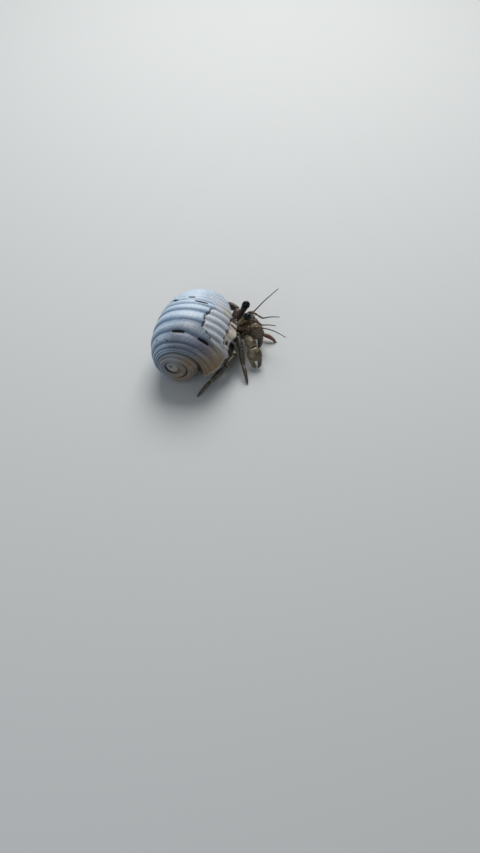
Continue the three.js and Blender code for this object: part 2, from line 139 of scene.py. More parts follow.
def grain(points: np.ndarray, size: float, seed: float = 0.0) -> np.ndarray:
    """Soft solid noise about -1 to 1.

    Args:
        points: Where to read it, one row each.
        size: Width of a blotch, in the points' own units.
        seed: Shifts the pattern.

    Returns:
        One value for each point.
    """
    shifted = np.asarray(points, float) / size + seed
    return np.array([noise.noise(Vector(p)) for p in shifted]) * 1.6


def points_of(obj: Object, key: str = "co") -> np.ndarray:
    """The places of a mesh's vertices, or their normals, as an array of rows."""
    flat = np.zeros(len(obj.data.vertices) * 3, np.float32)
    obj.data.vertices.foreach_get(key, flat)
    return flat.reshape(-1, 3).astype(float)


def set_points(obj: Object, points: np.ndarray, lowest: float = -math.inf) -> None:
    """Moves the vertices of a mesh, and keeps them above a height."""
    points[:, 2] = np.maximum(points[:, 2], lowest)
    obj.data.vertices.foreach_set("co", points.astype(np.float32).ravel())
    obj.data.update()


def store(obj: Object, **values: np.ndarray) -> None:
    """Keeps numbers or vectors on the vertices, for the finishes to read."""
    for name, value in values.items():
        kind, key = ("FLOAT", "value") if value.ndim == 1 else ("FLOAT_VECTOR", "vector")
        layer = obj.data.attributes.new(name, kind, "POINT")
        layer.data.foreach_set(key, value.astype(np.float32).ravel())


def stored(obj: Object, name: str) -> np.ndarray:
    """Reads numbers back from the vertices."""
    values = np.zeros(len(obj.data.vertices), np.float32)
    obj.data.attributes[name].data.foreach_get("value", values)
    return values


def new_primitive(name: str, operator: Callable, **settings: object) -> Object:
    """Adds a primitive with nothing else selected, and names it.

    Args:
        name: Its name.
        operator: The operator that adds it.
        settings: The operator's settings.

    Returns:
        The object.
    """
    bpy.ops.object.select_all(action="DESELECT")
    operator(**settings)
    made = bpy.context.object
    made.name = name
    return made


@contextmanager
def editing(obj: Object) -> Iterator[None]:
    """Edit mode on one object, with nothing of it selected at first.

    Args:
        obj: The object.

    Yields:
        Nothing. Edit mode lasts as long as the block.
    """
    bpy.ops.object.select_all(action="DESELECT")
    bpy.context.view_layer.objects.active = obj
    obj.select_set(True)
    bpy.ops.object.mode_set(mode="EDIT")
    bpy.ops.mesh.select_all(action="DESELECT")
    yield
    bpy.ops.object.mode_set(mode="OBJECT")


def choose_faces(obj: Object, wanted: Callable[[bmesh.types.BMFace], bool]) -> None:
    """Selects the faces that pass a test, in edit mode."""
    mesh = bmesh.from_edit_mesh(obj.data)
    for face in mesh.faces:
        face.select_set(wanted(face))
    bmesh.update_edit_mesh(obj.data)


def apply_modifier(obj: Object, kind: str, **settings: object) -> None:
    """Adds a modifier and applies it.

    Args:
        obj: The object.
        kind: The modifier's type.
        settings: Its settings.
    """
    bpy.context.view_layer.objects.active = obj
    modifier = obj.modifiers.new(kind.lower(), kind)
    for key, value in settings.items():
        setattr(modifier, key, value)
    bpy.ops.object.modifier_apply(modifier=modifier.name)


def close_and_turn_out(obj: Object, distance: float = 1e-4) -> None:
    """Merges the seams and poles of a mesh, then turns its faces outwards."""
    with editing(obj):
        bpy.ops.mesh.select_all(action="SELECT")
        bpy.ops.mesh.remove_doubles(threshold=distance)
        bpy.ops.mesh.normals_make_consistent(inside=False)


def fuse(base: Object, other: Object, voxel: float, smoothing: int) -> None:
    """Makes one closed skin of two meshes that overlap.

    Args:
        base: The mesh that stays.
        other: The mesh that goes into it.
        voxel: Size of the new faces in mm.
        smoothing: How many times the skin is smoothed.
    """
    bpy.ops.object.select_all(action="DESELECT")
    base.select_set(True)
    other.select_set(True)
    bpy.context.view_layer.objects.active = base
    bpy.ops.object.join()
    apply_modifier(base, "REMESH", mode="VOXEL", voxel_size=voxel)
    apply_modifier(base, "SMOOTH", factor=0.5, iterations=smoothing)


@cache
def material_of(finish: Finish) -> Material:
    """Builds a finish's material the first time, and gives the same one after that."""
    return finish.build()


def deliver(obj: Object, finish: Finish, replaces: Sequence[str] = ()) -> Object:
    """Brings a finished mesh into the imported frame, dresses it and has it ride on the body.

    Args:
        obj: The piece, modelled in millimetres about the animal's own origin.
        finish: Its finish.
        replaces: The solids it stands for.

    Returns:
        The same object.
    """
    obj.data.transform(Matrix.Scale(MM, 4) @ Matrix.Translation(-MIDDLE))
    obj.data.shade_smooth()
    obj.data.materials.clear()
    obj.data.materials.append(material_of(finish))
    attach(obj, "root")
    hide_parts(*replaces)
    log.info("%s: %d faces", obj.name, len(obj.data.polygons))
    return obj


# ---- finishes -----------------------------------------------------------------------------------


def linear(colour: str) -> tuple[float, float, float, float]:
    """Turns an sRGB hex colour into linear red, green, blue and alpha."""
    parts = [int(colour[i : i + 2], 16) / 255 for i in (1, 3, 5)]
    red, green, blue = (p / 12.92 if p <= 0.04045 else ((p + 0.055) / 1.055) ** 2.4 for p in parts)
    return red, green, blue, 1.0


def new_material(name: str) -> tuple[Material, Tree]:
    """Makes an empty material.

    Args:
        name: Its name.

    Returns:
        The material and its node tree.
    """
    material = bpy.data.materials.new(name)
    material.use_nodes = True
    material.node_tree.nodes.clear()
    return material, material.node_tree


def add(
    tree: Tree, kind: str, sockets: dict[str | int, object] | None = None, **settings: object
) -> Node:
    """Adds a node.

    Args:
        tree: The material's node tree.
        kind: The node's type, without its ShaderNode prefix.
        sockets: A value or another node's output for each named or numbered input.
        settings: The node's own settings.

    Returns:
        The node.
    """
    node = tree.nodes.new("ShaderNode" + kind)
    for key, value in settings.items():
        setattr(node, key, value)
    for key, value in (sockets or {}).items():
        if isinstance(value, Socket):
            tree.links.new(value, node.inputs[key])
        else:
            node.inputs[key].default_value = value
    return node


def place_in(tree: Tree) -> Socket:
    """Where a point lies in its object, in metres."""
    return add(tree, "TexCoord").outputs["Object"]


def mask(tree: Tree, name: str) -> Socket:
    """A number kept on the vertices."""
    return add(tree, "Attribute", attribute_name=name).outputs["Fac"]


def noise_at(tree: Tree, at: Socket, scale: float, detail: float, roughness: float = 0.5) -> Socket:
    """Cloudy noise from 0 to 1, read at a place."""
    sockets = {"Vector": at, "Scale": scale, "Detail": detail, "Roughness": roughness}
    return add(tree, "TexNoise", sockets).outputs["Fac"]


def math_on(tree: Tree, operation: str, *values: Socket | float, clamp: bool = False) -> Socket:
    """One operation of a Math node, on numbers and other nodes' outputs."""
    return add(tree, "Math", dict(enumerate(values)), operation=operation, use_clamp=clamp).outputs[0]


def spread(tree: Tree, value: Socket, *limits: float) -> Socket:
    """Takes a value from between two limits to between two others, and holds it at their ends."""
    return add(tree, "MapRange", dict(enumerate((value, *limits)))).outputs[0]


def mix(
    tree: Tree, factor: Socket | float, below: Socket, above: Socket | Sequence[float], blend: str = "MIX"
) -> Socket:
    """Lays one colour over another.

    Args:
        tree: The material's node tree.
        factor: How much of the upper colour shows.
        below: The lower colour.
        above: The upper colour.
        blend: How they are blended.

    Returns:
        The mixed colour.
    """
    factor_input, below_input, above_input, colour_output = 0, 6, 7, 2
    sockets = {factor_input: factor, below_input: below, above_input: above}
    return add(tree, "Mix", sockets, data_type="RGBA", blend_type=blend).outputs[colour_output]


def ramp(tree: Tree, value: Socket, *stops: tuple[float, str]) -> Socket:
    """Turns a value into a colour.

    Args:
        tree: The material's node tree.
        value: The value.
        stops: Positions with the sRGB hex colours they have.

    Returns:
        The colour.
    """
    node = add(tree, "ValToRGB", {"Fac": value})
    elements = node.color_ramp.elements
    while len(elements) < len(stops):
        elements.new(0.5)
    for element, (position, colour) in zip(elements, stops):
        element.position = position
        element.color = linear(colour)
    return node.outputs["Color"]


def surface(
    material: Material, relief: Socket, strength: float, depth: float, sockets: dict[str, object]
) -> Material:
    """Ends a material in a surface with a fine relief.

    Args:
        material: The material.
        relief: Height of the relief.
        strength: How strongly it shows, from 0 to 1.
        depth: Its depth in mm.
        sockets: What goes into the surface's own inputs.

    Returns:
        The same material.
    """
    tree = material.node_tree
    bump = add(tree, "Bump", {"Strength": strength, "Distance": depth * MM, "Height": relief})
    skin = add(tree, "BsdfPrincipled", sockets | {"Normal": bump.outputs[0]})
    add(tree, "OutputMaterial", {"Surface": skin.outputs[0]})
    return material


def per_mm(size: float) -> float:
    """Noise scale, in metres of object space, for features of a size in millimetres."""
    return 1 / (size * MM)


@dataclass(frozen=True)
class ShellAragonite:
    """Weathered aragonite of a beach-worn tun shell.

    The outer prismatic layer is chalky white on the rounded ribs and blue-grey in the
    furrows, which are darkened as painted shade, with tan left of the old skin towards the
    suture. Sand has rubbed it to a satin.
    """

    name: str = "shell_aragonite"
    furrow: str = "#424e5a"
    flank: str = "#7b92ab"
    crown: str = "#abbdce"
    shadow: str = "#617a98"
    lilac: str = "#565065"
    slate: str = "#333b45"
    umber: str = "#7a5f30"
    regrown: str = "#c6c3c4"
    bare: str = "#b5a897"
    inside: str = "#a98f7c"
    lichen: str = "#8f9158"
    painted_recess_shade: str = "#0f0e0f"
    growth_line: float = 0.28  # mm between growth lines
    blotch: float = 2.2  # mm
    speckle: float = 0.5  # mm

    def build(self) -> Material:
        """Builds the material."""
        material, tree = new_material(self.name)
        spiral = add(tree, "Attribute", attribute_name="spiral").outputs["Vector"]
        place = place_in(tree)
        # growth lines run square to the ribs, so their noise is squeezed along the whorl
        lines_at, streaks_at = (
            add(tree, "Mapping", {"Vector": spiral, "Scale": scale}).outputs[0]
            for scale in ((1 / self.growth_line, 0.12, 1.0), (0.09, 1.3, 1.0))
        )
        lines = noise_at(tree, lines_at, 1.0, 4.0, 0.6)
        streaks = noise_at(tree, streaks_at, 1.0, 5.0)
        blotch = noise_at(tree, place, per_mm(self.blotch), 6.0, 0.65)
        speckle = noise_at(tree, place, per_mm(self.speckle), 3.0, 0.7)
        # wear: the crown mask is shifted by streaks and blotches so no rib is evenly white
        worn = math_on(tree, "MULTIPLY_ADD", streaks, 0.55, mask(tree, "crown"))
        worn = math_on(tree, "MULTIPLY_ADD", blotch, 0.35, worn)
        # the furrow colour is painted shade in the grooves, and the white of the crowns is wear
        colour = ramp(tree, worn, (0.38, self.furrow), (0.7, self.flank), (1.0, self.crown))
        # the shadow colour lies on one side of each rib: painted shade
        layers = (
            ("painted_rib_shade", self.shadow, 0.75, streaks), ("slate", self.slate, 0.85, lines),
            ("lilac", self.lilac, 0.9, streaks), ("umber", self.umber, 1.0, blotch),
            ("regrown", self.regrown, 0.85, lines), ("lichen", self.lichen, 0.8, speckle),
            ("bare", self.bare, 1.0, speckle), ("inner", self.inside, 1.0, lines)
        )
        for name, tint, strength, texture in layers:
            broken = spread(tree, texture, 0.3, 0.7, 0.55 * strength, strength)
            factor = math_on(tree, "MULTIPLY", mask(tree, name), broken)
            colour = mix(tree, factor, colour, linear(tint))
        # fine grit: each speckle is a little lighter or darker
        grit = spread(tree, speckle, 0.3, 0.7, 0.82, 1.14)
        shade = add(tree, "CombineXYZ", {i: grit for i in range(3)}).outputs[0]
        colour = mix(tree, 1.0, colour, shade, "MULTIPLY")
        # pits, cracks, the suture and the foot of the chipped step are painted near black as shade, and
        # made dull
        painted_recess_shade = mask(tree, "painted_recess_shade")
        rough = spread(tree, blotch, 0.3, 0.7, 0.36, 0.56)
        sockets = {
            "Base Color": mix(tree, painted_recess_shade, colour, linear(self.painted_recess_shade)),
            "Roughness": math_on(tree, "MULTIPLY_ADD", painted_recess_shade, 0.6, rough, clamp=True), "IOR": 1.55
        }
        relief = math_on(tree, "MULTIPLY_ADD", lines, 0.6, speckle)
        return surface(material, relief, 0.5, 0.06, sockets)


@dataclass(frozen=True)
class Cuticle:
    """Hard calcified cuticle of a land crab, granular and mottled.

    It is painted darker along the back of each segment as shade, paler where the joints rub,
    and every granule is painted paler as a small highlight.
    """

    name: str
    base: str
    dark: str
    pale: str
    tip: str = ""  # colour of the horny far end, where there is one
    tip_from: float = 0.6
    # how much shade is painted along the back of each segment
    back_shade: float = 0.6
    mottle: float = 1.1  # mm
    granule: float = 0.16  # mm
    roughness: tuple[float, float] = (0.3, 0.5)
    bump: float = 0.5

    def build(self) -> Material:
        """Builds the material."""
        material, tree = new_material(self.name)
        place, at = place_in(tree), mask(tree, "at")
        blotch = noise_at(tree, place, per_mm(self.mottle), 5.0, 0.6)
        cells = add(tree, "TexVoronoi", {"Vector": place, "Scale": per_mm(self.granule)})
        # painted shade: darker along the back of each segment
        shade = spread(tree, mask(tree, "back"), -0.6, 1.0, 0.0, 0.3 * self.back_shade)
        tone = math_on(tree, "SUBTRACT", blotch, shade)
        colour = ramp(tree, tone, (0.2, self.dark), (0.45, self.base), (0.72, self.pale))
        # joints: the last tenth of a segment and its neck are rubbed paler
        rubbed = spread(tree, at, 0.86, 0.99, 0.0, 0.45)
        neck = spread(tree, at, 0.12, 0.0, 0.0, 0.45)
        joint = math_on(tree, "MAXIMUM", rubbed, neck)
        # the granule tops are painted paler as small highlights
        crown = math_on(tree, "MULTIPLY_ADD", mask(tree, "granule"), 0.35, joint, clamp=True)
        layers = [(crown, self.pale), (mask(tree, "hollow"), self.dark)]
        if self.tip:
            tip_whole = min(self.tip_from + 0.25, 1.0)
            layers.append((spread(tree, at, self.tip_from, tip_whole, 0.0, 1.0), self.tip))
        for factor, tint in layers:
            colour = mix(tree, factor, colour, linear(tint))
        relief = math_on(tree, "MULTIPLY_ADD", cells.outputs["Distance"], -0.7, blotch)
        rough = spread(tree, blotch, 0.3, 0.7, *self.roughness)
        sockets = {"Base Color": colour, "Roughness": rough, "IOR": 1.54}
        return surface(material, relief, self.bump, 0.05, sockets)


@dataclass(frozen=True)
class Cornea:
    """Clear chitin lenses over black pigment: wet-looking, with the finest facets."""

    name: str = "cornea_lens"
    pigment: str = "#060506"
    sheen_of_blue: str = "#0b0d10"
    facet: float = 0.07  # mm, about twice the real lens, so that it shows
    cloud: float = 0.9  # mm

    def build(self) -> Material:
        """Builds the material."""
        material, tree = new_material(self.name)
        place = place_in(tree)
        lenses = add(tree, "TexVoronoi", {"Vector": place, "Scale": per_mm(self.facet)})
        cloud = noise_at(tree, place, per_mm(self.cloud), 3.0)
        sockets = {
            "Base Color": ramp(tree, cloud, (0.4, self.pigment), (0.8, self.sheen_of_blue)),
            "Roughness": 0.2, "IOR": 1.34, "Specular IOR Level": 0.35, "Coat Weight": 0.08,
            "Coat Roughness": 0.05
        }
        return surface(material, lenses.outputs["Distance"], 0.12, 0.01, sockets)


@dataclass(frozen=True)
class SoftSkin:
    """Thin uncalcified skin over fat and muscle, finely wrinkled and a little moist."""

    name: str = "soft_skin"
    base: str = "#a5836a"
    fold: str = "#6e4f40"
    pale: str = "#c7aa8e"
    blotch: float = 1.6  # mm
    wrinkle: float = 0.35  # mm

    def build(self) -> Material:
        """Builds the material."""
        material, tree = new_material(self.name)
        place = place_in(tree)
        blotch = noise_at(tree, place, per_mm(self.blotch), 5.0)
        waves = {"Vector": place, "Scale": per_mm(self.wrinkle) / TURN, "Distortion": 6.0, "Detail": 3.0}
        folds = add(tree, "TexWave", waves).outputs["Fac"]
        colour = ramp(tree, blotch, (0.3, self.fold), (0.5, self.base), (0.75, self.pale))
        sockets = {"Base Color": colour, "Roughness": 0.38, "IOR": 1.42}
        return surface(material, folds, 0.4, 0.05, sockets)


@dataclass(frozen=True)
class StudioFloor:
    """Pale matte painted board, evenly rolled."""

    name: str = "studio_board"
    paint: str = "#b4b7b8"
    stipple: float = 1.5  # mm

    def build(self) -> Material:
        """Builds the material."""
        material, tree = new_material(self.name)
        stipple = noise_at(tree, place_in(tree), per_mm(self.stipple), 2.0)
        sockets = {"Base Color": linear(self.paint), "Roughness": 0.85}
        return surface(material, stipple, 0.1, 0.02, sockets)


# ---- the borrowed shell -------------------------------------------------------------------------


@dataclass(frozen=True)
class Mark:
    """A dash worn into a furrow and painted dark inside as shade: where it lies on the whorl and how deep
    it goes.
    """

    start: float
    end: float
    section: float
    half_width: float
    depth: float = 0.35
    section_end: float | None = None


@dataclass
class BorrowedShell:
    """A tun shell: one tube wound on a cone, twice the size after each turn, ribbed spirally.

    A point of it is given by its spiral angle theta, 0 at the lip and falling inwards, and its
    section angle phi, 0 at the widest part, rising towards the suture.
    """

    growth: float = 2.0
    whorls: float = 3.2
    knob_from: float = -2.35  # turns from the lip where the smooth first whorl begins
    knob_whole: float = -2.6
    spire_set: Vec = (-0.8, -0.25, -0.75)  # how far the spire's tip is set off the coil's own axis
    pinch: float = 1.5  # mm the whorl narrows half a turn back from the lip
    pinch_at: tuple[float, float] = (-3.35, 1.5)
    apex: Vec = (-6.97, -2.9, 7.31)
    yaw: float = math.radians(10.6)
    roll: float = math.radians(4.4)
    middle_radius: float = 6.8
    middle_drop: float = 12.85
    half_width: float = 5.27
    half_height: float = 13.14
    lean: float = -0.11
    wall: float = 0.9
    cavity_turns: float = 0.86
    rib: float = 0.46
    furrows: tuple[float, ...] = (
        -1.78, -1.62, -1.47, -1.33, -1.19, -1.05, -0.9, -0.75, -0.6, -0.45, -0.3, -0.13, 0.085, 0.41,
        0.79, 1.2, 1.47, 1.64, 1.8, 1.98, 2.18, 2.42
    )
    fill: float = 0.1  # how far the top of a whorl swells to meet the one before it
    dome: float = 2.0  # how far the spire's whorls swell to meet the next one
    rib_grid: float = 0.27  # mm between grid lines across the ribs
    plain_spans: int = 34  # spans over the smooth side that faces the axis
    lip: Rows = (
        (-3.14, 0, 0), (-1.6, 0.04, 0), (-0.9, 0.02, 0), (-0.5, -0.06, 0), (-0.32, -0.03, 0.4),
        (-0.12, 0.04, 1.8), (0.1, 0.02, 1.9), (0.3, 0, 0.7), (0.45, 0.05, 0.1), (0.58, 0.1, 0.9),
        (0.72, 0.06, 0), (0.95, 0.06, 0), (1.35, 0.11, 0), (1.76, 0.3, 0), (2.1, 0.3, 0), (2.6, 0.1, 0),
        (3.14, 0, 0)
    )
    flare_run: float = 0.28
    # an old break, healed: section angle and the spiral angle of its edge
    scar: Rows = (
        (-1.3, -0.5), (-0.6, -0.56), (-0.3, -0.72), (-0.055, -0.846), (0.122, -0.941), (0.309, -0.948),
        (0.48, -0.928), (0.6, -0.814), (0.691, -0.668), (0.785, -0.495), (0.95, -0.25), (1.2, 0.1)
    )
    scar_reach: tuple[float, float] = (-0.12, 0.74)
    ledge: Rows = (
        (-0.4, -0.02), (-0.153, -0.206), (0.019, -0.205), (0.23, -0.259), (0.388, -0.278), (0.49, -0.19),
        (0.6, -0.02)
    )
    marks: tuple[Mark, ...] = (
        Mark(-1.62, -1.30, 0.80, 0.07, 0.4), Mark(-0.92, -0.62, 0.87, 0.08, 0.6, 0.90),
        Mark(-1.48, -1.29, -0.37, 0.04, 0.2), Mark(-2.07, -1.73, -0.44, 0.05, 0.2, -0.30),
        Mark(-1.27, -0.96, -0.22, 0.05, 0.3), Mark(-2.14, -2.08, 0.963, 0.045, 0.3),
        Mark(-1.815, -1.68, 1.031, 0.02, 0.2, 1.153), Mark(-1.5, -1.46, 1.382, 0.04, 0.2),
        Mark(-0.27, -0.165, 0.5, 0.095, 0.9, 0.47), Mark(-0.1, -0.005, 0.385, 0.09, 0.9),
        Mark(-0.14, 0.06, -0.14, 0.038, 0.3, -0.04)
    )

    def drift(self, theta: np.ndarray, phi: np.ndarray) -> np.ndarray:
        """Section angle in the ribs' own count: one shoulder furrow wanders near the lip."""
        near_lip = smoothstep(-1.4, -0.8, theta)
        return phi - 0.1 * near_lip * np.exp(-(((phi - 0.85) / 0.25) ** 2))

    def rib_share(self, phi: np.ndarray) -> np.ndarray:
        """How far each section angle lies across its rib, from 0 to 1."""
        edges = np.array(self.furrows)
        i = np.clip(np.searchsorted(edges, phi, side="right") - 1, 0, len(edges) - 2)
        return (phi - edges[i]) / (edges[i + 1] - edges[i])

    def crown(self, phi: np.ndarray) -> np.ndarray:
        """Height of the spiral ribs from 0 in a furrow to 1 on a crown."""
        ribbed = (phi > self.furrows[0]) & (phi < self.furrows[-1])
        share = np.clip(self.rib_share(phi), 0, 1)
        return np.where(ribbed, 1 - np.abs(2 * share - 1) ** 2.6, 0)

    def knob(self, theta: np.ndarray) -> np.ndarray:
        """1 on the smooth first whorl at the apex, which winds on to the axis and closes it."""
        return smoothstep(self.knob_from * TURN, self.knob_whole * TURN, theta)

    def painted_rib_shade(self, phi: np.ndarray) -> np.ndarray:
        """Painted shade: 1 on the spire side of each rib, the side turned from the light, and 0 on its
        other side.
        """
        return smoothstep(0.45, 0.85, self.rib_share(phi))

    def place(self, theta: np.ndarray, phi: np.ndarray, thick: np.ndarray, rim: np.ndarray) -> np.ndarray:
        """Points of the shell.

        Args:
            theta: Spiral angles.
            phi: Section angles.
            thick: How far each point stands out of the smooth whorl, in mm at the lip's scale.
            rim: 1 on the whorl's surface and 0 on its middle line.

        Returns:
            One row of coordinates for each point.
        """
        axis = np.array((-math.sin(self.yaw), -math.cos(self.yaw), 0))
        out = np.array((math.cos(self.yaw), -math.sin(self.yaw), 0)) * math.cos(self.roll)
        out[2] = math.sin(self.roll)
        onward = np.cross(out, axis)
        scale = self.growth ** (theta / TURN)
        tip = self.knob(theta)
        dr = (self.half_width + thick) * rim * np.cos(phi) * (1 + 0.8 * tip)
        dz = (self.half_height + thick) * rim * np.sin(phi)
        c, s = math.cos(self.lean), math.sin(self.lean)
        radius = scale * (self.middle_radius * (1 - tip) + dr * c - dz * s)
        height = scale * (-self.middle_drop + dr * s + dz * c) + 0.25 * tip
        pinched = bump_at(theta, *self.pinch_at) * smoothstep(2.1, 1.0, np.abs(phi)) * rim
        radius = radius - self.pinch * pinched
        set_off = smoothstep(1.0, 0.2, scale)
        return (
            np.array(self.apex)
            + set_off[:, None] * np.array(self.spire_set)
            + height[:, None] * axis
            + (radius * np.cos(theta))[:, None] * out
            + (radius * np.sin(theta))[:, None] * onward
        )

    def section_angles(self) -> np.ndarray:
        """Grid lines round the section: one in each furrow, close across the ribs."""
        lines = []
        for low, high in zip(self.furrows, self.furrows[1:]):
            middle = (low + high) / 2
            speed = math.hypot(self.half_width * math.sin(middle), self.half_height * math.cos(middle))
            spans = int(np.clip(round(speed * (high - low) / self.rib_grid), 6, 18))
            lines.extend(low + (high - low) * i / spans for i in range(spans))
        first, last = self.furrows[0], self.furrows[-1]
        plain = [last + (first + TURN - last) * i / self.plain_spans for i in range(self.plain_spans)]
        return np.array([*lines, *plain, first + TURN])

    def stations(self) -> tuple[np.ndarray, np.ndarray, np.ndarray]:
        """Rings along the tube, out to the lip, round its edge and back in.

        Returns:
            Spiral angle, share of the way through the wall, and rim of each ring.
        """
        start, cavity = -self.whorls * TURN, -self.cavity_turns * TURN
        spire_end, back, inside = -1.06 * TURN, -2.4, -1.5
        spire = np.linspace(start, spire_end, 150, endpoint=False)
        far_side = np.linspace(spire_end, back, 115, endpoint=False)
        near_side = np.linspace(back, 0, 125)
        hollow = (np.linspace(0, inside, 40), np.linspace(inside, cavity, 40)[1:])
        nose = np.linspace(0, 1, 7)
        edge = np.linspace(0, 1, 8)[1:-1]
        outer, inner = np.concatenate((spire, far_side, near_side)), np.concatenate(hollow)
        ends = start - 0.5 * (1 - nose), cavity - 0.2 * nose
        theta = np.concatenate((ends[0], outer, 0 * edge, inner, ends[1]))
        through = np.concatenate((0 * nose, 0 * outer, edge, np.ones(len(inner) + len(nose))))
        open_tube = np.ones(len(outer) + len(edge) + len(inner))
        quarter = nose * math.pi / 2
        rims = np.concatenate((np.sin(quarter), open_tube, np.cos(quarter)))
        return theta, through, rims

    def relief(self, theta: np.ndarray, phi: np.ndarray) -> dict[str, np.ndarray]:
        """Height, wear, painted shade and painted light of the outer surface.

        Args:
            theta: Spiral angles.
            phi: Section angles, from minus to plus half a turn.

        Returns:
            "height" in mm at the lip's scale, and a mask from 0 to 1 for each kind of wear, painted shade
            and painted light.
        """
        wander = 0.016 * np.sin(23 * phi) + 0.011 * np.sin(57 * phi + 1.3)
        crown = self.crown(self.drift(theta, phi))
        spire = smoothstep(-TURN + 0.3, -TURN - 0.3, theta)
        knob = self.knob(theta)
        in_scar = smoothstep(self.scar_reach[0] - 0.1, self.scar_reach[0] + 0.08, phi) * smoothstep(
            self.scar_reach[1] + 0.05, self.scar_reach[1] - 0.05, phi
        )
        past_scar = theta - (along(self.scar, phi) + wander)
        regrown = smoothstep(-0.01, 0.03, past_scar) * smoothstep(-0.75, -0.3, phi)
        regrown *= smoothstep(0.95, 0.75, phi)
        crack = bump_at(past_scar, 0.008, 0.042) * in_scar
        past_ledge = theta - (along(self.ledge, phi) + 0.6 * wander)
        on_ledge = (phi > -0.36) & (phi < 0.58)
        bare = smoothstep(-0.008, 0.02, past_ledge) * on_ledge
        # a dark band at the foot of the chipped step: painted shadow, with a slight dip
        edge = np.clip(1.3 * bump_at(past_ledge, 0.034, 0.042), 0, 1) * on_ledge
        rubbed = 0.65 * smoothstep(-0.5, -0.2, theta) * bump_at(phi, -0.42, 0.34)
        # a shallow smooth dent near the top of the whorl, also painted pale below: a painted highlight
        hollow = np.exp(-(((theta + 0.55) / 0.4) ** 2) - ((phi + 0.62) / 0.35) ** 2)
        fade = 1 - (0.5 - 0.15 * spire) * smoothstep(-0.4, 0.5, phi)
        low = smoothstep(0.45, 0.7, phi)
        # the painted rib shade is weaker towards the top of the whorl
        shade = 1 - 0.9 * smoothstep(-0.1, -0.5, phi)
        flare = along(self.lip, phi, 2) * np.clip(1 + theta / self.flare_run, 0, 1) ** 2
        painted_recess_shade = np.zeros_like(theta)
        pit = np.zeros_like(theta)
        for mark in self.marks:
            share = np.clip((theta - mark.start) / (mark.end - mark.start), 0, 1)
            end = mark.section if mark.section_end is None else mark.section_end
            across = phi - (mark.section + share * (end - mark.section))
            from_middle = (2 * theta - mark.start - mark.end) / (1.1 * (mark.end - mark.start))
            oval = np.sqrt(np.clip(1 - from_middle**2, 1e-4, 1))
            dent = bump_at(across, 0, mark.half_width * oval) * (oval > 0.02)
            pit = np.maximum(pit, dent * mark.depth)
            painted_recess_shade = np.maximum(painted_recess_shade, smoothstep(0.15, 0.6, dent))
        flake = np.sin(19 * phi + 2.2 * np.sin(13 * theta)) + 0.7 * np.sin(31 * theta + 7 * phi)
        # cracks over the bare ledge are sunk and painted dark as shade
        cracked = smoothstep(0.22, 0.0, np.abs(flake)) * bare
        growth = 0.5 * np.sin(theta * 61 + 3 * np.sin(2 * phi)) + 0.5 * np.sin(theta * 97 + 1.7)
        new_ribs = 0.5 + 0.5 * np.cos(TURN * (phi - 0.125 + 0.08 * (theta + 0.65)) / 0.205)
        crown = crown + (new_ribs - crown) * regrown
        ribs = self.rib * crown * (1 - 0.15 * regrown) * (1 + 0.4 * spire) * (1 - knob)
        ribs *= 1 - 0.5 * hollow
        # the suture is painted dark as shade in the groove between the whorls
        suture = smoothstep(1.78, 1.88, phi) * smoothstep(3.0, 2.6, phi) * (1 - knob)
        suture *= 1 - 0.6 * smoothstep(-1.55 * TURN, -1.95 * TURN, theta)
        past_rim = theta - along(self.lip, phi)
        rim_line = 0.9 * smoothstep(-0.06, -0.02, past_rim) * smoothstep(0.6, 0.75, phi)
        spur = np.exp(-(((phi - 0.47 + 0.45 * theta) / 0.045) ** 2)) * smoothstep(-0.4, -0.15, theta)
        # a patch by the lower lip, painted pale below: painted light where it turns from the light
        painted_light_corner = np.exp(-(((theta + 0.08) / 0.11) ** 2) - ((phi - 0.56) / 0.1) ** 2)
        height = (
            ribs * (1 - 0.75 * bare)
            + self.fill * bump_at(phi, 1.98, 0.5)
            + self.dome * spire * bump_at(phi, 0.95, 0.75)
            + flare
            + 0.02 * growth * (1 - spire)
            - 0.22 * regrown * in_scar
            - 0.7 * hollow
            - 0.35 * crack
            - 0.15 * edge
            - (0.5 + 0.25 * cracked) * bare
            + 0.5 * spur * (phi < 0.8)
            - pit
        )
        # pits and the healed crack are painted dark as shade in these recesses
        pit_and_crack_shade = np.maximum(painted_recess_shade, 0.92 * crack)
        return {
            "height": np.maximum(height, -0.85 * self.wall),
            "crown": np.clip(crown * fade * (1 - knob) + 0.8 * knob + spur, 0, 1),
            # the regrown tint also carries painted light, on the patch by the lower lip and on the dent
            # near the top
            "regrown": np.maximum(
                regrown * (1 - bare) * (0.4 + 0.6 * crown) * (1 - 0.5 * low),
                np.clip(2.2 * painted_light_corner + 0.7 * hollow, 0, 1),
            ),
            "bare": np.maximum.reduce(
                (np.maximum(bare, rubbed * (1 - hollow)) * (1 - painted_light_corner), rim_line, 0.35 * knob)
            ),
            "painted_recess_shade": np.clip(pit_and_crack_shade + 0.9 * suture + 0.85 * edge + 0.45 * cracked, 0, 1),
            "painted_rib_shade": self.painted_rib_shade(self.drift(theta, phi)) * (1 - 0.6 * regrown) * (1 - bare) * shade,
            "spire": spire,
        }

    def tints(self, theta: np.ndarray, phi: np.ndarray, spire: np.ndarray) -> dict[str, np.ndarray]:
        """Where the shell's several tints lie.

        Args:
            theta: Spiral angles.
            phi: Section angles.
            spire: 1 on the spire and 0 on the last whorl.

        Returns:
            A mask from 0 to 1 for each tint.
        """

        def patch(at: float, section: float, reach: float, width: float) -> np.ndarray:
            """A soft patch on the last whorl."""
            return np.exp(-(((theta - at) / reach) ** 2) - ((phi - section) / width) ** 2)

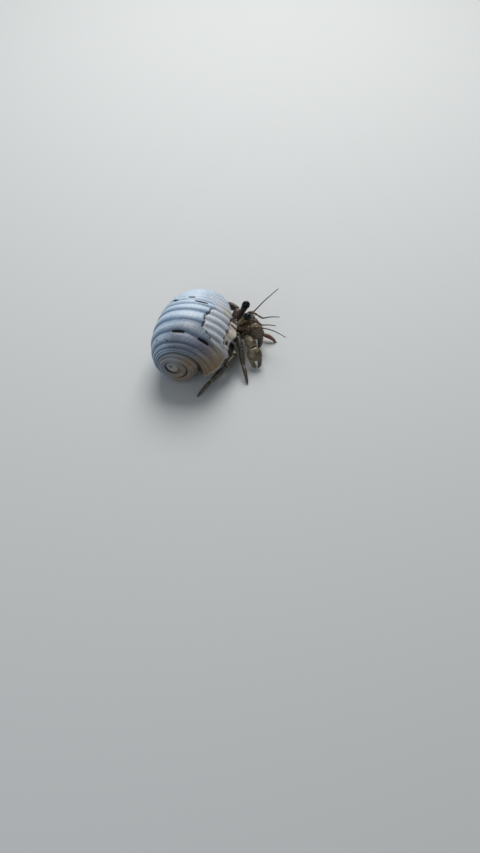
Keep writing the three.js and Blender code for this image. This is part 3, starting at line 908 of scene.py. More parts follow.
        last = 1 - spire
        knob = self.knob(theta)
        lilac = patch(-1.45, 1.38, 0.35, 0.1) + patch(-1.05, 1.3, 0.3, 0.1)
        lilac += patch(-0.69, 1.02, 0.25, 0.12) + 0.6 * patch(-1.1, 0.95, 0.5, 0.12)
        slate = 0.85 * smoothstep(0.35, 0.85, phi) * (1 - 0.85 * smoothstep(-1.5, -1.95, theta))
        slate += 1.0 * patch(-1.15, 0.7, 0.4, 0.4)
        umber = smoothstep(-0.95, -0.1, theta + 0.3 * (phi - 1.0)) * smoothstep(0.35, 0.9, phi)
        umber += 0.4 * patch(-0.42, -0.46, 0.15, 0.14)
        umber = umber + 0.75 * smoothstep(-0.9, -2.2, phi) + 0.5 * patch(-0.3, -0.38, 0.2, 0.12)
        umber = umber + 0.9 * smoothstep(-3.7, -4.7, theta) * smoothstep(-0.4, 0.4, phi)
        right = smoothstep(-0.7, 0.7, np.cos(theta - 0.5))
        blush = patch(-TURN - 0.7, 1.2, 0.6, 0.08)
        return {
            "lilac": np.clip(lilac * last + 0.8 * blush, 0, 1),
            "slate": np.clip(slate * last + 0.4 * spire * (1 - knob), 0, 1),
            "umber": np.clip(umber * last + (0.45 + 0.5 * right) * spire * (1 + 0.2 * knob), 0, 1),
            "lichen": np.clip(patch(-0.415, -0.242, 0.07, 0.06), 0, 1)
        }

    def build(self, finish: Finish) -> Object:
        """Winds the shell from a flat grid.

        Args:
            finish: Its finish.

        Returns:
            The delivered shell.
        """
        turns, through, rims = self.stations()
        sections = self.section_angles()
        shell = new_primitive(
            "tun_shell", bpy.ops.mesh.primitive_grid_add, x_subdivisions=len(turns) - 1,
            y_subdivisions=len(sections) - 1, size=2
        )
        flat = points_of(shell)
        ring = np.rint((flat[:, 0] + 1) / 2 * (len(turns) - 1)).astype(int)
        line = np.rint((flat[:, 1] + 1) / 2 * (len(sections) - 1)).astype(int)
        phi = np.arctan2(np.sin(sections[line]), np.cos(sections[line]))
        depth = through[ring]
        outside = depth < 0.5
        reach = along(self.lip, phi) + 0.5 * self.wall * np.sin(math.pi * depth) / 10
        near_lip = np.exp(-(((turns[ring]) / 0.12) ** 2))
        theta = turns[ring] + reach * np.where(depth > 0, near_lip, smoothstep(-0.6, 0, turns[ring]))
        worn = self.relief(theta, phi)
        scale = self.growth ** (theta / TURN)
        inset = 0.5 * self.wall * (1 - np.cos(math.pi * depth)) / scale
        thick = worn.pop("height") * (1 - smoothstep(0.0, 0.6, depth)) - inset
        spire = worn.pop("spire")
        set_points(shell, self.place(theta, phi, thick, rims[ring]), lowest=0)
        masks = worn | self.tints(theta, phi, spire)
        masks = {name: value * outside for name, value in masks.items()}
        radius = scale * (self.middle_radius + self.half_width * np.cos(phi))
        spiral = np.stack((theta * radius, phi * scale * self.half_height, depth), axis=1)
        store(shell, inner=smoothstep(0.3, 0.8, depth), spiral=spiral, **masks)
        close_and_turn_out(shell)
        return deliver(shell, finish, ["shell"])


# ---- limbs --------------------------------------------------------------------------------------


@dataclass(frozen=True)
class Path:
    """A limb's middle line through given points, with a hinge line its sides keep square to."""

    points: tuple[Vec, ...]
    hinge: Vec = (0.0, 1.0, 0.0)
    bow: float = 0.0  # how far the middle is lifted towards the back of the limb

    def samples(self, count: int = 200) -> np.ndarray:
        """Points along the line: straight through two, a centripetal spline through more."""
        given = np.array(self.points, float)
        if len(given) == 2:
            return given[0] + np.linspace(0, 1, count)[:, None] * (given[1] - given[0])
        padded = np.vstack((2 * given[0] - given[1], given, 2 * given[-1] - given[-2]))
        made = []
        for t in np.linspace(0, len(given) - 1, count):
            i = min(int(t), len(given) - 2)
            p0, p1, p2, p3 = padded[i : i + 4]
            d0, d1, d2 = (np.linalg.norm(b - a) ** 0.5 for a, b in ((p0, p1), (p1, p2), (p2, p3)))
            start = ((p1 - p0) / d0 - (p2 - p0) / (d0 + d1) + (p2 - p1) / d1) * d1
            end = ((p2 - p1) / d1 - (p3 - p1) / (d1 + d2) + (p3 - p2) / d2) * d1
            u = t - i
            made.append(
                p1
                + start * u
                + (3 * (p2 - p1) - 2 * start - end) * u**2
                + (2 * (p1 - p2) + start + end) * u**3
            )
        return np.array(made)

    @property
    def length(self) -> float:
        """Length of the line in mm."""
        return float(np.linalg.norm(np.diff(self.samples(), axis=0), axis=1).sum())

    def frames(self, t: np.ndarray) -> tuple[np.ndarray, np.ndarray, np.ndarray, np.ndarray]:
        """Middle points and axes at shares of the length; past its ends the line goes on straight.

        Args:
            t: Shares of the length.

        Returns:
            Middle, direction, across and up, one row each for each share.
        """
        line = self.samples()
        steps = np.diff(line, axis=0)
        arc = np.concatenate(([0], np.cumsum(np.linalg.norm(steps, axis=1))))
        length = arc[-1]
        at = np.clip(t, 0, 1)
        middle = np.stack([np.interp(at * length, arc, line[:, k]) for k in range(3)], axis=1)
        unit = steps / np.linalg.norm(steps, axis=1)[:, None]
        spots = (arc[1:] + arc[:-1]) / 2
        direction = np.stack([np.interp(at * length, spots, unit[:, k]) for k in range(3)], axis=1)
        direction /= np.linalg.norm(direction, axis=1)[:, None]
        side = np.array(self.hinge, float)
        across = side - (direction @ side)[:, None] * direction
        across /= np.linalg.norm(across, axis=1)[:, None]
        up = np.cross(direction, across)
        middle = middle + ((t - at) * length)[:, None] * direction
        middle = middle + (self.bow * np.sin(math.pi * at))[:, None] * up
        return middle, direction, across, up

    def lay(self, points: np.ndarray) -> np.ndarray:
        """Bends points modelled straight along Z, with X across and Y up, onto the line."""
        middle, _, across, up = self.frames(points[:, 2] / self.length)
        return middle + points[:, :1] * across + points[:, 1:2] * up


@dataclass(frozen=True)
class Segment:
    """One stiff length of a limb, extruded ring by ring from its near end.

    rows are position, half height and half width. plug and socket are the lengths, in mm, of the
    neck that goes into the segment before and of the hollow that takes the next one.
    """

    path: Path
    rows: Rows
    sides: int = 14
    rings: int = 11
    plug: float = 0.3
    socket: float = 0.25
    crest: float = 0.0  # height of the keel along the back
    teeth: float = 0.0  # teeth along the keel
    grit: float = 0.015  # height of the granules
    levels: int = 2
    articles: tuple[float, ...] = ()  # shares of the length where it is jointed

    def build(self, name: str) -> Object:
        """Models the segment and lays it on its path.

        Args:
            name: The object's name.

        Returns:
            The object, with its share of the length, its back and its granules on its vertices.
        """
        length = self.path.length
        shares = np.unique(np.concatenate((np.linspace(0, 1, self.rings), (0.03, 0.97))))
        high, wide = along(self.rows, shares, 1), along(self.rows, shares, 2)
        obj = new_primitive(
            name, bpy.ops.mesh.primitive_circle_add, vertices=self.sides, radius=1, fill_type="NGON"
        )
        with editing(obj):
            bpy.ops.mesh.select_all(action="SELECT")
            self.resize((wide[0], high[0]), 0)
            for i in range(1, len(shares)):
                self.extrude((shares[i] - shares[i - 1]) * length)
                self.resize((wide[i] / wide[i - 1], high[i] / high[i - 1]), shares[i] * length)
            if self.socket:
                rim = 0.22 * min(high[-1], wide[-1])
                bpy.ops.mesh.inset(thickness=rim, depth=0)
                self.extrude(-self.socket)
                self.resize((0.85, 0.85), length - self.socket)
            if self.plug:
                choose_faces(obj, self.is_near_cap)
                self.extrude(-0.6 * self.plug)
                self.resize((0.86, 0.86), -0.6 * self.plug)
                self.extrude(-0.4 * self.plug)
                self.resize((0.6, 0.6), -self.plug)
        close_and_turn_out(obj)
        if self.levels:
            apply_modifier(obj, "SUBSURF", levels=self.levels, render_levels=self.levels)
        self.sculpt(obj, length)
        return obj

    def extrude(self, distance: float) -> None:
        """Draws the chosen face out along the segment."""
        bpy.ops.mesh.extrude_region_move(TRANSFORM_OT_translate={"value": (0, 0, distance)})

    def resize(self, factors: tuple[float, float], height: float) -> None:
        """Scales the chosen ring across and up about the middle line."""
        bpy.ops.transform.resize(value=(*factors, 1), center_override=(0, 0, height))

    def is_near_cap(self, face: bmesh.types.BMFace) -> bool:
        """Whether a face closes the near end."""
        return face.calc_center_median().z < 1e-5 and abs(face.normal.z) > 0.9

    def sculpt(self, obj: Object, length: float) -> None:
        """Raises the keel, the joints' rings and the granules, and bends the mesh onto its path.

        Args:
            obj: The segment, still straight.
            length: Its length in mm.
        """
        points = points_of(obj)
        at = np.clip(points[:, 2] / length, 0, 1)
        high, wide = along(self.rows, at, 1), along(self.rows, at, 2)
        back = np.clip(points[:, 1] / high, -1, 1)
        outward = points * (1, 1, 0)
        outward /= np.linalg.norm(outward, axis=1)[:, None] + 1e-9
        keel = np.clip(back, 0, 1) ** 6 * np.sin(math.pi * at) ** 0.5
        saw = 0.55 + 0.45 * np.sin(TURN * self.teeth * at) if self.teeth else 1.0
        lift = self.crest * keel * saw
        for joint in self.articles:
            lift = lift - 0.35 * wide * bump_at(at * length, joint * length, 0.28)
            lift = lift + 0.12 * wide * bump_at(at * length, joint * length - 0.4, 0.3)
        laid = self.path.lay(points)
        skin = (points[:, 2] > 0) & (np.hypot(points[:, 0] / wide, points[:, 1] / high) > 0.7)
        granules = np.clip(grain(laid, 0.22, seed=3.1), 0, 1) ** 1.5
        lift = np.where(skin, lift + self.grit * 2 * granules, 0)
        set_points(obj, self.path.lay(points + outward * lift[:, None]))
        hollow = np.where(skin | (points[:, 2] < 0), 0.0, 1.0)
        store(obj, at=at, back=back, hollow=hollow, granule=np.where(skin, granules, 0))


def hinge_of(joints: Sequence[Vec]) -> Vec:
    """The line a limb's joints hinge about: level, and square to the way the limb reaches."""
    reach = Vector(joints[-1]) - Vector(joints[0])
    return tuple(Vector((0, 0, 1)).cross(reach).normalized())


# ---- bristles -----------------------------------------------------------------------------------


@dataclass
class Bristles:
    """Stiff setae, one bent three-sided spike modelled once and copied."""

    seed: int
    roots: list[np.ndarray] = field(default_factory=list)
    ways: list[np.ndarray] = field(default_factory=list)
    lengths: list[np.ndarray] = field(default_factory=list)
    thickness: float = 0.035  # radius at the root as a share of the length
    root: float = 0.05  # share of the length that is under the skin
    pull: float = 0.7  # how far the given way draws them from standing straight out
    scatter: float = 0.25
    spread: tuple[float, float] = (0.55, 1.35)  # shortest and longest, as shares of the mean length

    def __post_init__(self) -> None:
        """Seeds the draws."""
        self.random = np.random.default_rng(self.seed)

    def grow(
        self, obj: Object, count: int, length: float, lean: Vec,
        where: Callable[[dict[str, np.ndarray]], np.ndarray] | None = None
    ) -> None:
        """Sets bristles on a piece before it is delivered.

        Args:
            obj: The piece.
            count: How many.
            length: Their mean length in mm.
            lean: The way they lean.
            where: Given the piece's vertex masks, says how likely each vertex is to bear one.
        """
        masks = {name: stored(obj, name) for name in ("at", "back", "hollow")}
        weight = (1 - masks["hollow"]) * (where(masks) if where else 1.0)
        weight = weight * (masks["at"] > 0.04)
        picked = self.random.choice(len(weight), count, p=weight / weight.sum())
        way = points_of(obj, "normal")[picked] + self.pull * np.array(lean)
        way = way + self.random.normal(0, self.scatter, way.shape)
        self.roots.append(points_of(obj)[picked])
        self.ways.append(way / np.linalg.norm(way, axis=1)[:, None])
        self.lengths.append(length * self.random.uniform(*self.spread, count))

    def build(self, name: str, finish: Finish) -> Object:
        """Makes one piece of all the bristles.

        Args:
            name: The piece's name.
            finish: Its finish.

        Returns:
            The delivered object.
        """
        spike = new_primitive(
            name, bpy.ops.mesh.primitive_cone_add, vertices=3, radius1=self.thickness,
            radius2=self.thickness * 0.7, depth=0.5
        )
        with editing(spike):
            choose_faces(spike, lambda face: face.normal.z > 0.9)
            bpy.ops.mesh.extrude_region_move(TRANSFORM_OT_translate={"value": (0.08, 0, 0.5)})
            bpy.ops.mesh.merge(type="CENTER")
        one = points_of(spike)
        one[:, 2] += 0.25 - self.root
        faces = [list(p.vertices) for p in spike.data.polygons]
        roots, ways, lengths = (np.concatenate(x) for x in (self.roots, self.ways, self.lengths))
        sideways = np.cross(ways, (0.31, 0.52, 0.79))
        sideways /= np.linalg.norm(sideways, axis=1)[:, None]
        other = np.cross(ways, sideways)
        turned = one[None, :, :1] * sideways[:, None] + one[None, :, 1:2] * other[:, None]
        turned = turned + one[None, :, 2:] * ways[:, None]
        copies = (roots[:, None] + lengths[:, None, None] * turned).reshape(-1, 3)
        copies[:, 2] = np.maximum(copies[:, 2], JUST_OVER_FLOOR)
        shift = len(one)
        corners = [[v + i * shift for v in face] for i in range(len(roots)) for face in faces]
        tuft = bpy.data.meshes.new(name)
        tuft.from_pydata(copies.tolist(), [], corners)
        spike.data = tuft
        none = np.zeros(len(copies))
        store(spike, at=np.tile(one[:, 2], len(roots)), back=none, hollow=none, granule=none)
        return deliver(spike, finish)


# ---- the body -----------------------------------------------------------------------------------


@dataclass(frozen=True)
class Body:
    """Places on the cephalothorax, which is raised towards the head."""

    head: Vector = Vector((10.0, 12.0, 8.6))
    pitch: float = math.radians(26)
    length: float = 8.0
    depth: float = 2.4
    shield_length: float = 5.6
    shield_depth: float = 1.15
    rows: Rows = (
        (0, 1.0, 1.1), (0.1, 1.7, 1.8), (0.4, 2.3, 2.7), (0.78, 2.1, 2.4), (0.94, 1.5, 1.8), (1, 0.5, 0.9)
    )

    @property
    def forward(self) -> Vector:
        """Towards the head."""
        return Vector((math.cos(self.pitch), 0, math.sin(self.pitch)))

    @property
    def up(self) -> Vector:
        """Square to the back."""
        return Vector((-math.sin(self.pitch), 0, math.cos(self.pitch)))

    def at(self, forward: float, left: float, up: float) -> Vec:
        """A point from the front of the carapace."""
        return tuple(self.head + forward * self.forward + Vector((0, left, 0)) + up * self.up)

    def trunk(self, swell: float) -> Segment:
        """The whole cephalothorax, swollen by so many mm."""
        rows = [(t, high + swell, wide + swell) for t, high, wide in self.rows]
        path = Path((self.at(-self.length, 0, -self.depth), self.at(0, 0, 0.6 - self.depth)))
        return Segment(path, rows, sides=24, rings=16, plug=0, socket=0, grit=0.02)

    def build(self, shield: Finish, flesh: Finish, hairs: Bristles) -> None:
        """Builds the thorax and, over its front, the hard shield.

        Args:
            shield: Finish of the shield.
            flesh: Finish of the thorax.
            hairs: Grows the shield's bristles.
        """
        thorax = self.trunk(-0.05).build("thorax_wall")
        deliver(thorax, flesh, ["thorax"])
        plate = self.trunk(0.1).build("front_shield")
        with editing(plate):
            for place, way in (
                (self.at(0, 0, -self.shield_depth), self.up),
                (self.at(-self.shield_length, 0, 0), self.forward)
            ):
                bpy.ops.mesh.select_all(action="SELECT")
                bpy.ops.mesh.bisect(plane_co=place, plane_no=way, clear_inner=True, use_fill=True)
        points = points_of(plate)
        local = points - np.array(self.head)
        ahead = local @ np.array(self.forward)
        aside = local[:, 1]
        # the cervical groove crosses the plate, and two furrows run forward from it
        groove = bump_at(ahead + 0.35 * aside**2, -3.4, 0.28) * (np.abs(aside) < 2.0)
        furrow = bump_at(np.abs(aside), 0.95, 0.16) * smoothstep(-3.3, -3.0, ahead)
        top = smoothstep(-1.0, -0.6, local @ np.array(self.up))
        dip = (0.16 * groove + 0.1 * furrow * smoothstep(-0.6, -1.4, ahead)) * top
        beak = 0.45 * np.exp(-((aside / 0.35) ** 2)) * smoothstep(-0.6, 0.2, ahead) * top
        points += -dip[:, None] * np.array(self.up) + beak[:, None] * np.array(self.forward)
        set_points(plate, points)
        hairs.grow(
            plate, count=90, length=0.45, lean=tuple(self.forward),
            where=lambda masks: (masks["back"] > 0.1) * 1.0,
        )
        deliver(plate, shield, ["carapace_shield"])


@dataclass(frozen=True)
class Eye:
    """A compressed eyestalk with a glossy cornea that runs back along its upper side."""

    side: Side
    foot: Vec
    tip: Vec
    stalk_rows: Rows = (
        (0, 0.7, 0.55), (0.15, 0.82, 0.62), (0.45, 0.76, 0.58), (0.8, 0.95, 0.7), (1, 0.8, 0.6)
    )
    stalk_share: float = 0.86  # how far the stalk goes from the foot to the tip
    cornea_at: float = 0.81
    cornea_half: Vec = (0.95, 1.1, 1.25)  # across, up and along
    scale_rows: Rows = ((0, 0.2, 0.4), (0.5, 0.16, 0.34), (1, 0.04, 0.06))
    scale_reach: Vec = (1.1, 0, 0.55)

    def build(self, skin: Finish, cornea: Finish) -> None:
        """Builds the stalk, its cornea and the small scale at its foot.

        Args:
            skin: Finish of the stalk and the scale.
            cornea: Finish of the cornea.
        """
        foot, tip = Vector(self.foot), Vector(self.tip)
        neck = foot.lerp(tip, self.stalk_share)
        stalk = Segment(
            Path((tuple(foot), tuple(neck))), self.stalk_rows, plug=0.4, socket=0, grit=0.004
        ).build(f"eyestalk_{self.side.label}_skin")
        deliver(stalk, skin, [f"eyestalk_{self.side.label}"])
        ball = new_primitive(
            f"cornea_{self.side.label}", bpy.ops.mesh.primitive_uv_sphere_add, segments=40, ring_count=28,
            radius=1
        )
        length = (tip - foot).length
        points = points_of(ball) * self.cornea_half
        # the near end is cut slantwise, so the black runs back along the upper side
        slant = -0.55 - 0.5 * points[:, 1] / self.cornea_half[1]
        points[:, 2] = np.maximum(points[:, 2], slant * self.cornea_half[2])
        points[:, 2] += self.cornea_at * length
        set_points(ball, Path((self.foot, self.tip)).lay(points))
        deliver(ball, cornea, [f"eye_{self.side.label}"])
        scale_foot = foot + Vector((0.35, -0.3 * self.side.value, 0.15))
        scale_path = Path((tuple(scale_foot), tuple(scale_foot + Vector(self.scale_reach))))
        scale = Segment(
            scale_path, self.scale_rows, sides=8, rings=5, plug=0.2, socket=0, levels=1
        ).build(f"ocular_scale_{self.side.label}")
        deliver(scale, skin)


@dataclass(frozen=True)
class Feeler:
    """A feeler: a jointed stalk and a ringed whip."""

    name: str
    stalk: tuple[Vec, ...]
    stalk_radii: tuple[float, ...]
    whip: tuple[Vec, ...]  # its points past the end of the stalk
    whip_radii: tuple[float, float]
    annulus: float = 0.42  # mm

    def build(self, finish: Finish, whip_finish: Finish, hairs: Bristles) -> None:
        """Builds the stalk and the whip.

        Args:
            finish: Finish of the stalk.
            whip_finish: Finish of the whip.
            hairs: Grows the stalk's bristles.
        """
        rows = [(i / (len(self.stalk_radii) - 1), r, r) for i, r in enumerate(self.stalk_radii)]
        stalk = Segment(
            Path(self.stalk), rows, sides=12, rings=34, plug=0.3, socket=0.12, levels=1,
            articles=(0.3, 0.58, 0.8), grit=0.006
        ).build(f"{self.name}_stalk")
        hairs.grow(stalk, count=50, length=0.5, lean=(1, 0, 0.2))
        deliver(stalk, finish, [f"{self.name}_peduncle"])
        path = Path((self.stalk[-1], *self.whip))
        count = round(path.length / self.annulus)
        start, end = self.whip_radii
        shares = np.linspace(0, 1, 3 * count + 1)
        radii = (start + (end - start) * shares) * (1 - 0.16 * (np.arange(len(shares)) % 3 == 0))
        whip = Segment(
            path, [(t, r, r) for t, r in zip(shares, radii)], sides=7, rings=3 * count + 1, plug=0.25,
            socket=0, levels=0, grit=0
        ).build(f"{self.name}_whip")
        deliver(whip, whip_finish, [f"{self.name}_flagellum"])


@dataclass(frozen=True)
class SmallLimb:
    """A mouthpart or a small hind leg, bent in one piece."""

    name: str
    points: tuple[Vec, ...]
    rows: Rows
    articles: tuple[float, ...] = (0.35, 0.7)
    hairs: int = 120

    def build(self, finish: Finish, hairs: Bristles) -> None:
        """Builds the limb.

        Args:
            finish: Its finish.
            hairs: Grows its bristles.
        """
        limb = Segment(
            Path(self.points), self.rows, sides=12, rings=30, plug=0.4, socket=0, levels=1,
            articles=self.articles
        ).build(f"{self.name}_skin")
        hairs.grow(limb, self.hairs, length=0.42, lean=(0.5, 0, -0.4))
        deliver(limb, finish, [self.name])


@dataclass(frozen=True)
class LegPart:
    """One segment of a walking leg."""

    name: str
    rows: Rows
    crest: float
    teeth: float
    bow: float = 0.0
    hairs: int = 60


LEG_PARTS = (
    LegPart("merus", crest=0.16, teeth=9, rows=(
        (0, 0.65, 0.55), (0.1, 0.9, 0.7), (0.16, 0.82, 0.64), (0.5, 1.4, 1.0), (0.9, 1.28, 0.95),
        (1, 0.95, 0.78),
    )),
    LegPart("carpus", crest=0.12, teeth=6, rows=(
        (0, 0.6, 0.5), (0.2, 0.92, 0.74), (0.6, 1.18, 0.94), (0.9, 1.08, 0.86), (1, 0.82, 0.66),
    )),
    LegPart("propodus", crest=0.08, teeth=7, rows=(
        (0, 0.56, 0.48), (0.15, 0.86, 0.68), (0.4, 1.02, 0.8), (0.9, 0.78, 0.64), (1, 0.6, 0.5),
    )),
    LegPart("dactyl", crest=0.05, teeth=8, bow=0.45, hairs=90, rows=(
        (0, 0.44, 0.38), (0.1, 0.6, 0.5), (0.3, 0.72, 0.56), (0.75, 0.48, 0.4), (0.93, 0.22, 0.2),
        (1, 0.05, 0.05),
    )),
)


@dataclass(frozen=True)
class WalkingLeg:
    """A leg of four segments from the hip to the claw tip on the floor."""

    name: str
    joints: tuple[Vec, ...]

    def build(self, limb: Finish, tip: Finish, hairs: Bristles) -> None:
        """Builds the four segments.

        Args:
            limb: Finish of the upper three.
            tip: Finish of the last.
            hairs: Grows their bristles.
        """
        hinge = hinge_of(self.joints)
        for part, start, end in zip(LEG_PARTS, self.joints, self.joints[1:]):
            last = part.name == "dactyl"
            segment = Segment(
                Path((start, end), hinge, part.bow), part.rows, plug=0.35, socket=0 if last else 0.25,
                crest=part.crest, teeth=part.teeth
            ).build(f"{self.name}_{part.name}_skin")
            way = (Vector(end) - Vector(start)).normalized()
            hairs.grow(
                segment, part.hairs, length=0.5, lean=tuple(way),
                where=lambda masks: 0.08 + smoothstep(0.7, 0.95, np.abs(masks["back"])),
            )
            set_points(segment, points_of(segment), lowest=0)
            deliver(
                segment, tip if last else limb,
                [f"{self.name}_{part.name}"]
            )


@dataclass(frozen=True)
class Cheliped:
    """A claw-bearing limb: two arm segments, a swollen palm with its thumb, and a finger."""

    side: Side
    shoulder: Vec
    elbow: Vec
    wrist: Vec
    tip: Vec
    palm: tuple[float, float]
    finger: float
    palm_share: float = 0.62
    finger_teeth: int = 5

    @property
    def direction(self) -> Vector:
        """From the wrist to the fingertips."""
        return (Vector(self.tip) - Vector(self.wrist)).normalized()

    @property
    def front(self) -> Vector:
        """Across the claw, towards the movable finger."""
        along_x = Vector((1, 0, 0))
        return (along_x - along_x.dot(self.direction) * self.direction).normalized()

    def finger_path(self, offset: int) -> Path:
        """The line of a finger.

        Args:
            offset: 1 for the movable finger and -1 for the fixed one.

        Returns:
            Its path.
        """
        wrist, tip, height = Vector(self.wrist), Vector(self.tip), self.palm[0]
        face = self.front.cross(self.direction)
        points = (
            wrist.lerp(tip, self.palm_share - 0.08) + offset * height * 0.55 * self.front,
            wrist.lerp(tip, 0.86) + offset * height * 0.36 * self.front, tip + offset * 0.22 * self.front
        )
        return Path(tuple(tuple(p) for p in points), tuple(face))

    def finger_part(self, offset: int, name: str) -> Object:
        """One finger, with rounded teeth along its inner edge.

        Args:
            offset: 1 for the movable finger and -1 for the fixed one.
            name: The object's name.

        Returns:
            The finger.
        """
        f = self.finger
        rows = (
            (0, 1.15 * f, 1.1 * f), (0.6, 0.85 * f, 0.85 * f), (0.9, 0.42 * f, 0.45 * f),
            (1, 0.1 * f, 0.1 * f)
        )
        made = Segment(
            self.finger_path(offset), rows, plug=0.3, socket=0, grit=0.03, rings=16
        ).build(name)
        points = points_of(made)
        at, back = stored(made, "at"), stored(made, "back")
        inner = smoothstep(0.55, 0.95, -offset * back)
        teeth = np.clip(np.sin(TURN * self.finger_teeth * at + 0.8), 0, 1) ** 0.7
        bite = 0.2 * inner * teeth * smoothstep(0.2, 0.35, at)
        points += -offset * bite[:, None] * np.array(self.front)
        set_points(made, points, JUST_OVER_FLOOR)
        return made

    def build(self, limb: Finish, claw: Finish, nail: Finish, hairs: Bristles) -> None:
        """Builds the arm, the palm with its thumb, and the finger.

        Args:
            limb: Finish of the first segment.
            claw: Finish of the second and of the palm.
            nail: Finish of the finger.
            hairs: Grows their bristles.
        """
        high, wide = self.palm
        girth = 0.62 * math.sqrt(high * wide)
        hinge = tuple(self.front.cross(self.direction))
        label = f"cheliped_{self.side.label}"
        arms = (
            ("merus", self.shoulder, self.elbow, limb, Slot.LIMB,
             ((0, 0.6, 0.5), (0.3, 1.0, 0.8), (0.6, 1.3, 1.0), (1, 0.95, 0.8))),
            ("carpus", self.elbow, self.wrist, claw, Slot.CLAW,
             ((0, 0.6, 0.52), (0.3, 1.1, 0.95), (0.65, 1.38, 1.12), (1, 0.95, 0.82))),
        )
        for name, start, end, finish, slot, rows in arms:
            scaled = [(t, girth * h, girth * w) for t, h, w in rows]
            segment = Segment(
                Path((start, end), hinge), scaled, plug=0.35, socket=0.3, crest=0.12, teeth=6, grit=0.035
            ).build(f"{label}_{name}_skin")
            hairs.grow(segment, count=70, length=0.45, lean=tuple(self.direction))
            deliver(segment, finish, [f"{label}_{name}"])
        wrist, tip = Vector(self.wrist), Vector(self.tip)
        rows = (
            (0, 0.42 * high, 0.55 * wide), (0.12, 0.66 * high, 0.8 * wide),
            (0.3, 0.92 * high, 0.98 * wide), (0.7, high, wide), (0.92, 0.8 * high, 0.85 * wide),
            (1, 0.6 * high, 0.65 * wide)
        )
        palm = Segment(
            Path((self.wrist, tuple(wrist.lerp(tip, self.palm_share))), hinge), rows, sides=18, rings=14,
            plug=0.4, socket=0, grit=0
        ).build(f"{label}_hand")
        fuse(palm, self.finger_part(-1, "thumb"), voxel=0.1, smoothing=4)
        self.dress_hand(palm)
        hairs.grow(palm, count=160, length=0.5, lean=tuple(self.direction))
        deliver(palm, claw, [f"{label}_palm"])
        finger = self.finger_part(1, f"{label}_dactyl")
        hairs.grow(finger, count=60, length=0.4, lean=tuple(self.direction))
        deliver(finger, nail, [f"{label}_finger"])

    def dress_hand(self, palm: Object) -> None:
        """Sets low tubercles on the hand and marks where each point of it lies.

        Args:
            palm: The palm with its thumb.
        """
        points, normals = points_of(palm), points_of(palm, "normal")
        local = points - np.array(self.wrist)
        length = (Vector(self.tip) - Vector(self.wrist)).length
        at = np.clip(local @ np.array(self.direction) / length, 0, 1)
        back = np.clip(local @ np.array(self.front) / self.palm[0], -1, 1)
        spots = np.clip(grain(points, 0.34, seed=7.7), 0, 1) ** 1.3
        lumps = 0.09 * spots * smoothstep(0.9, 0.6, at)
        set_points(palm, points + lumps[:, None] * normals, JUST_OVER_FLOOR)
        for name in ("at", "back", "hollow", "granule"):
            if name in palm.data.attributes:
                palm.data.attributes.remove(palm.data.attributes[name])
        store(palm, at=at, back=back, hollow=np.zeros(len(points)), granule=spots)


@dataclass(frozen=True)
class SoftBelly:
    """The soft abdomen: bent from the thorax into the mouth of the shell and coiled inside it."""

    waist: tuple[Vec, ...] = ((4.6, 12.0, 3.3), (2.6, 11.8, 4.0), (2.0, 11.2, 6.4), (3.2, 10.4, 9.4))
    waist_rows: Rows = ((0, 1.25, 1.35), (0.35, 1.9, 2.1), (1, 2.3, 2.6))
    coil: tuple[float, float] = (-4.1, -0.2)
    clearance: float = 1.45
    voxel: float = 0.3

    def build(self, shell: BorrowedShell, finish: Finish) -> Object:
        """Builds one skin over the whole belly.

        Args:
            shell: The shell it is coiled in.
            finish: Its finish.

        Returns:
            The delivered belly.
        """
        stem = Segment(
            Path(self.waist), self.waist_rows, sides=18, rings=14, plug=1.0, socket=0, grit=0
        ).build("belly_stem")
        coil = new_primitive(
            "soft_belly", bpy.ops.mesh.primitive_grid_add, x_subdivisions=64, y_subdivisions=36, size=2
        )
        flat = points_of(coil)
        t = (flat[:, 0] + 1) / 2
        start, end = self.coil
        theta = start + (end - start) * t
        phi = math.pi * flat[:, 1]
        rim = np.sqrt(np.clip(np.minimum(t, 1 - t) / 0.06, 0, 1))
        inset = -self.clearance / shell.growth ** (theta / TURN)
        set_points(coil, shell.place(theta, phi, inset, rim))
        close_and_turn_out(coil, 0.02)
        fuse(coil, stem, self.voxel, smoothing=8)
        folds = points_of(coil)
        set_points(coil, folds + 0.05 * grain(folds, 0.9, seed=1.9)[:, None])
        nodes = [f"abdomen_{part}" for part in ("front", "middle", "tail", "waist")]
        return deliver(coil, finish, nodes)


# ---- the studio ---------------------------------------------------------------------------------


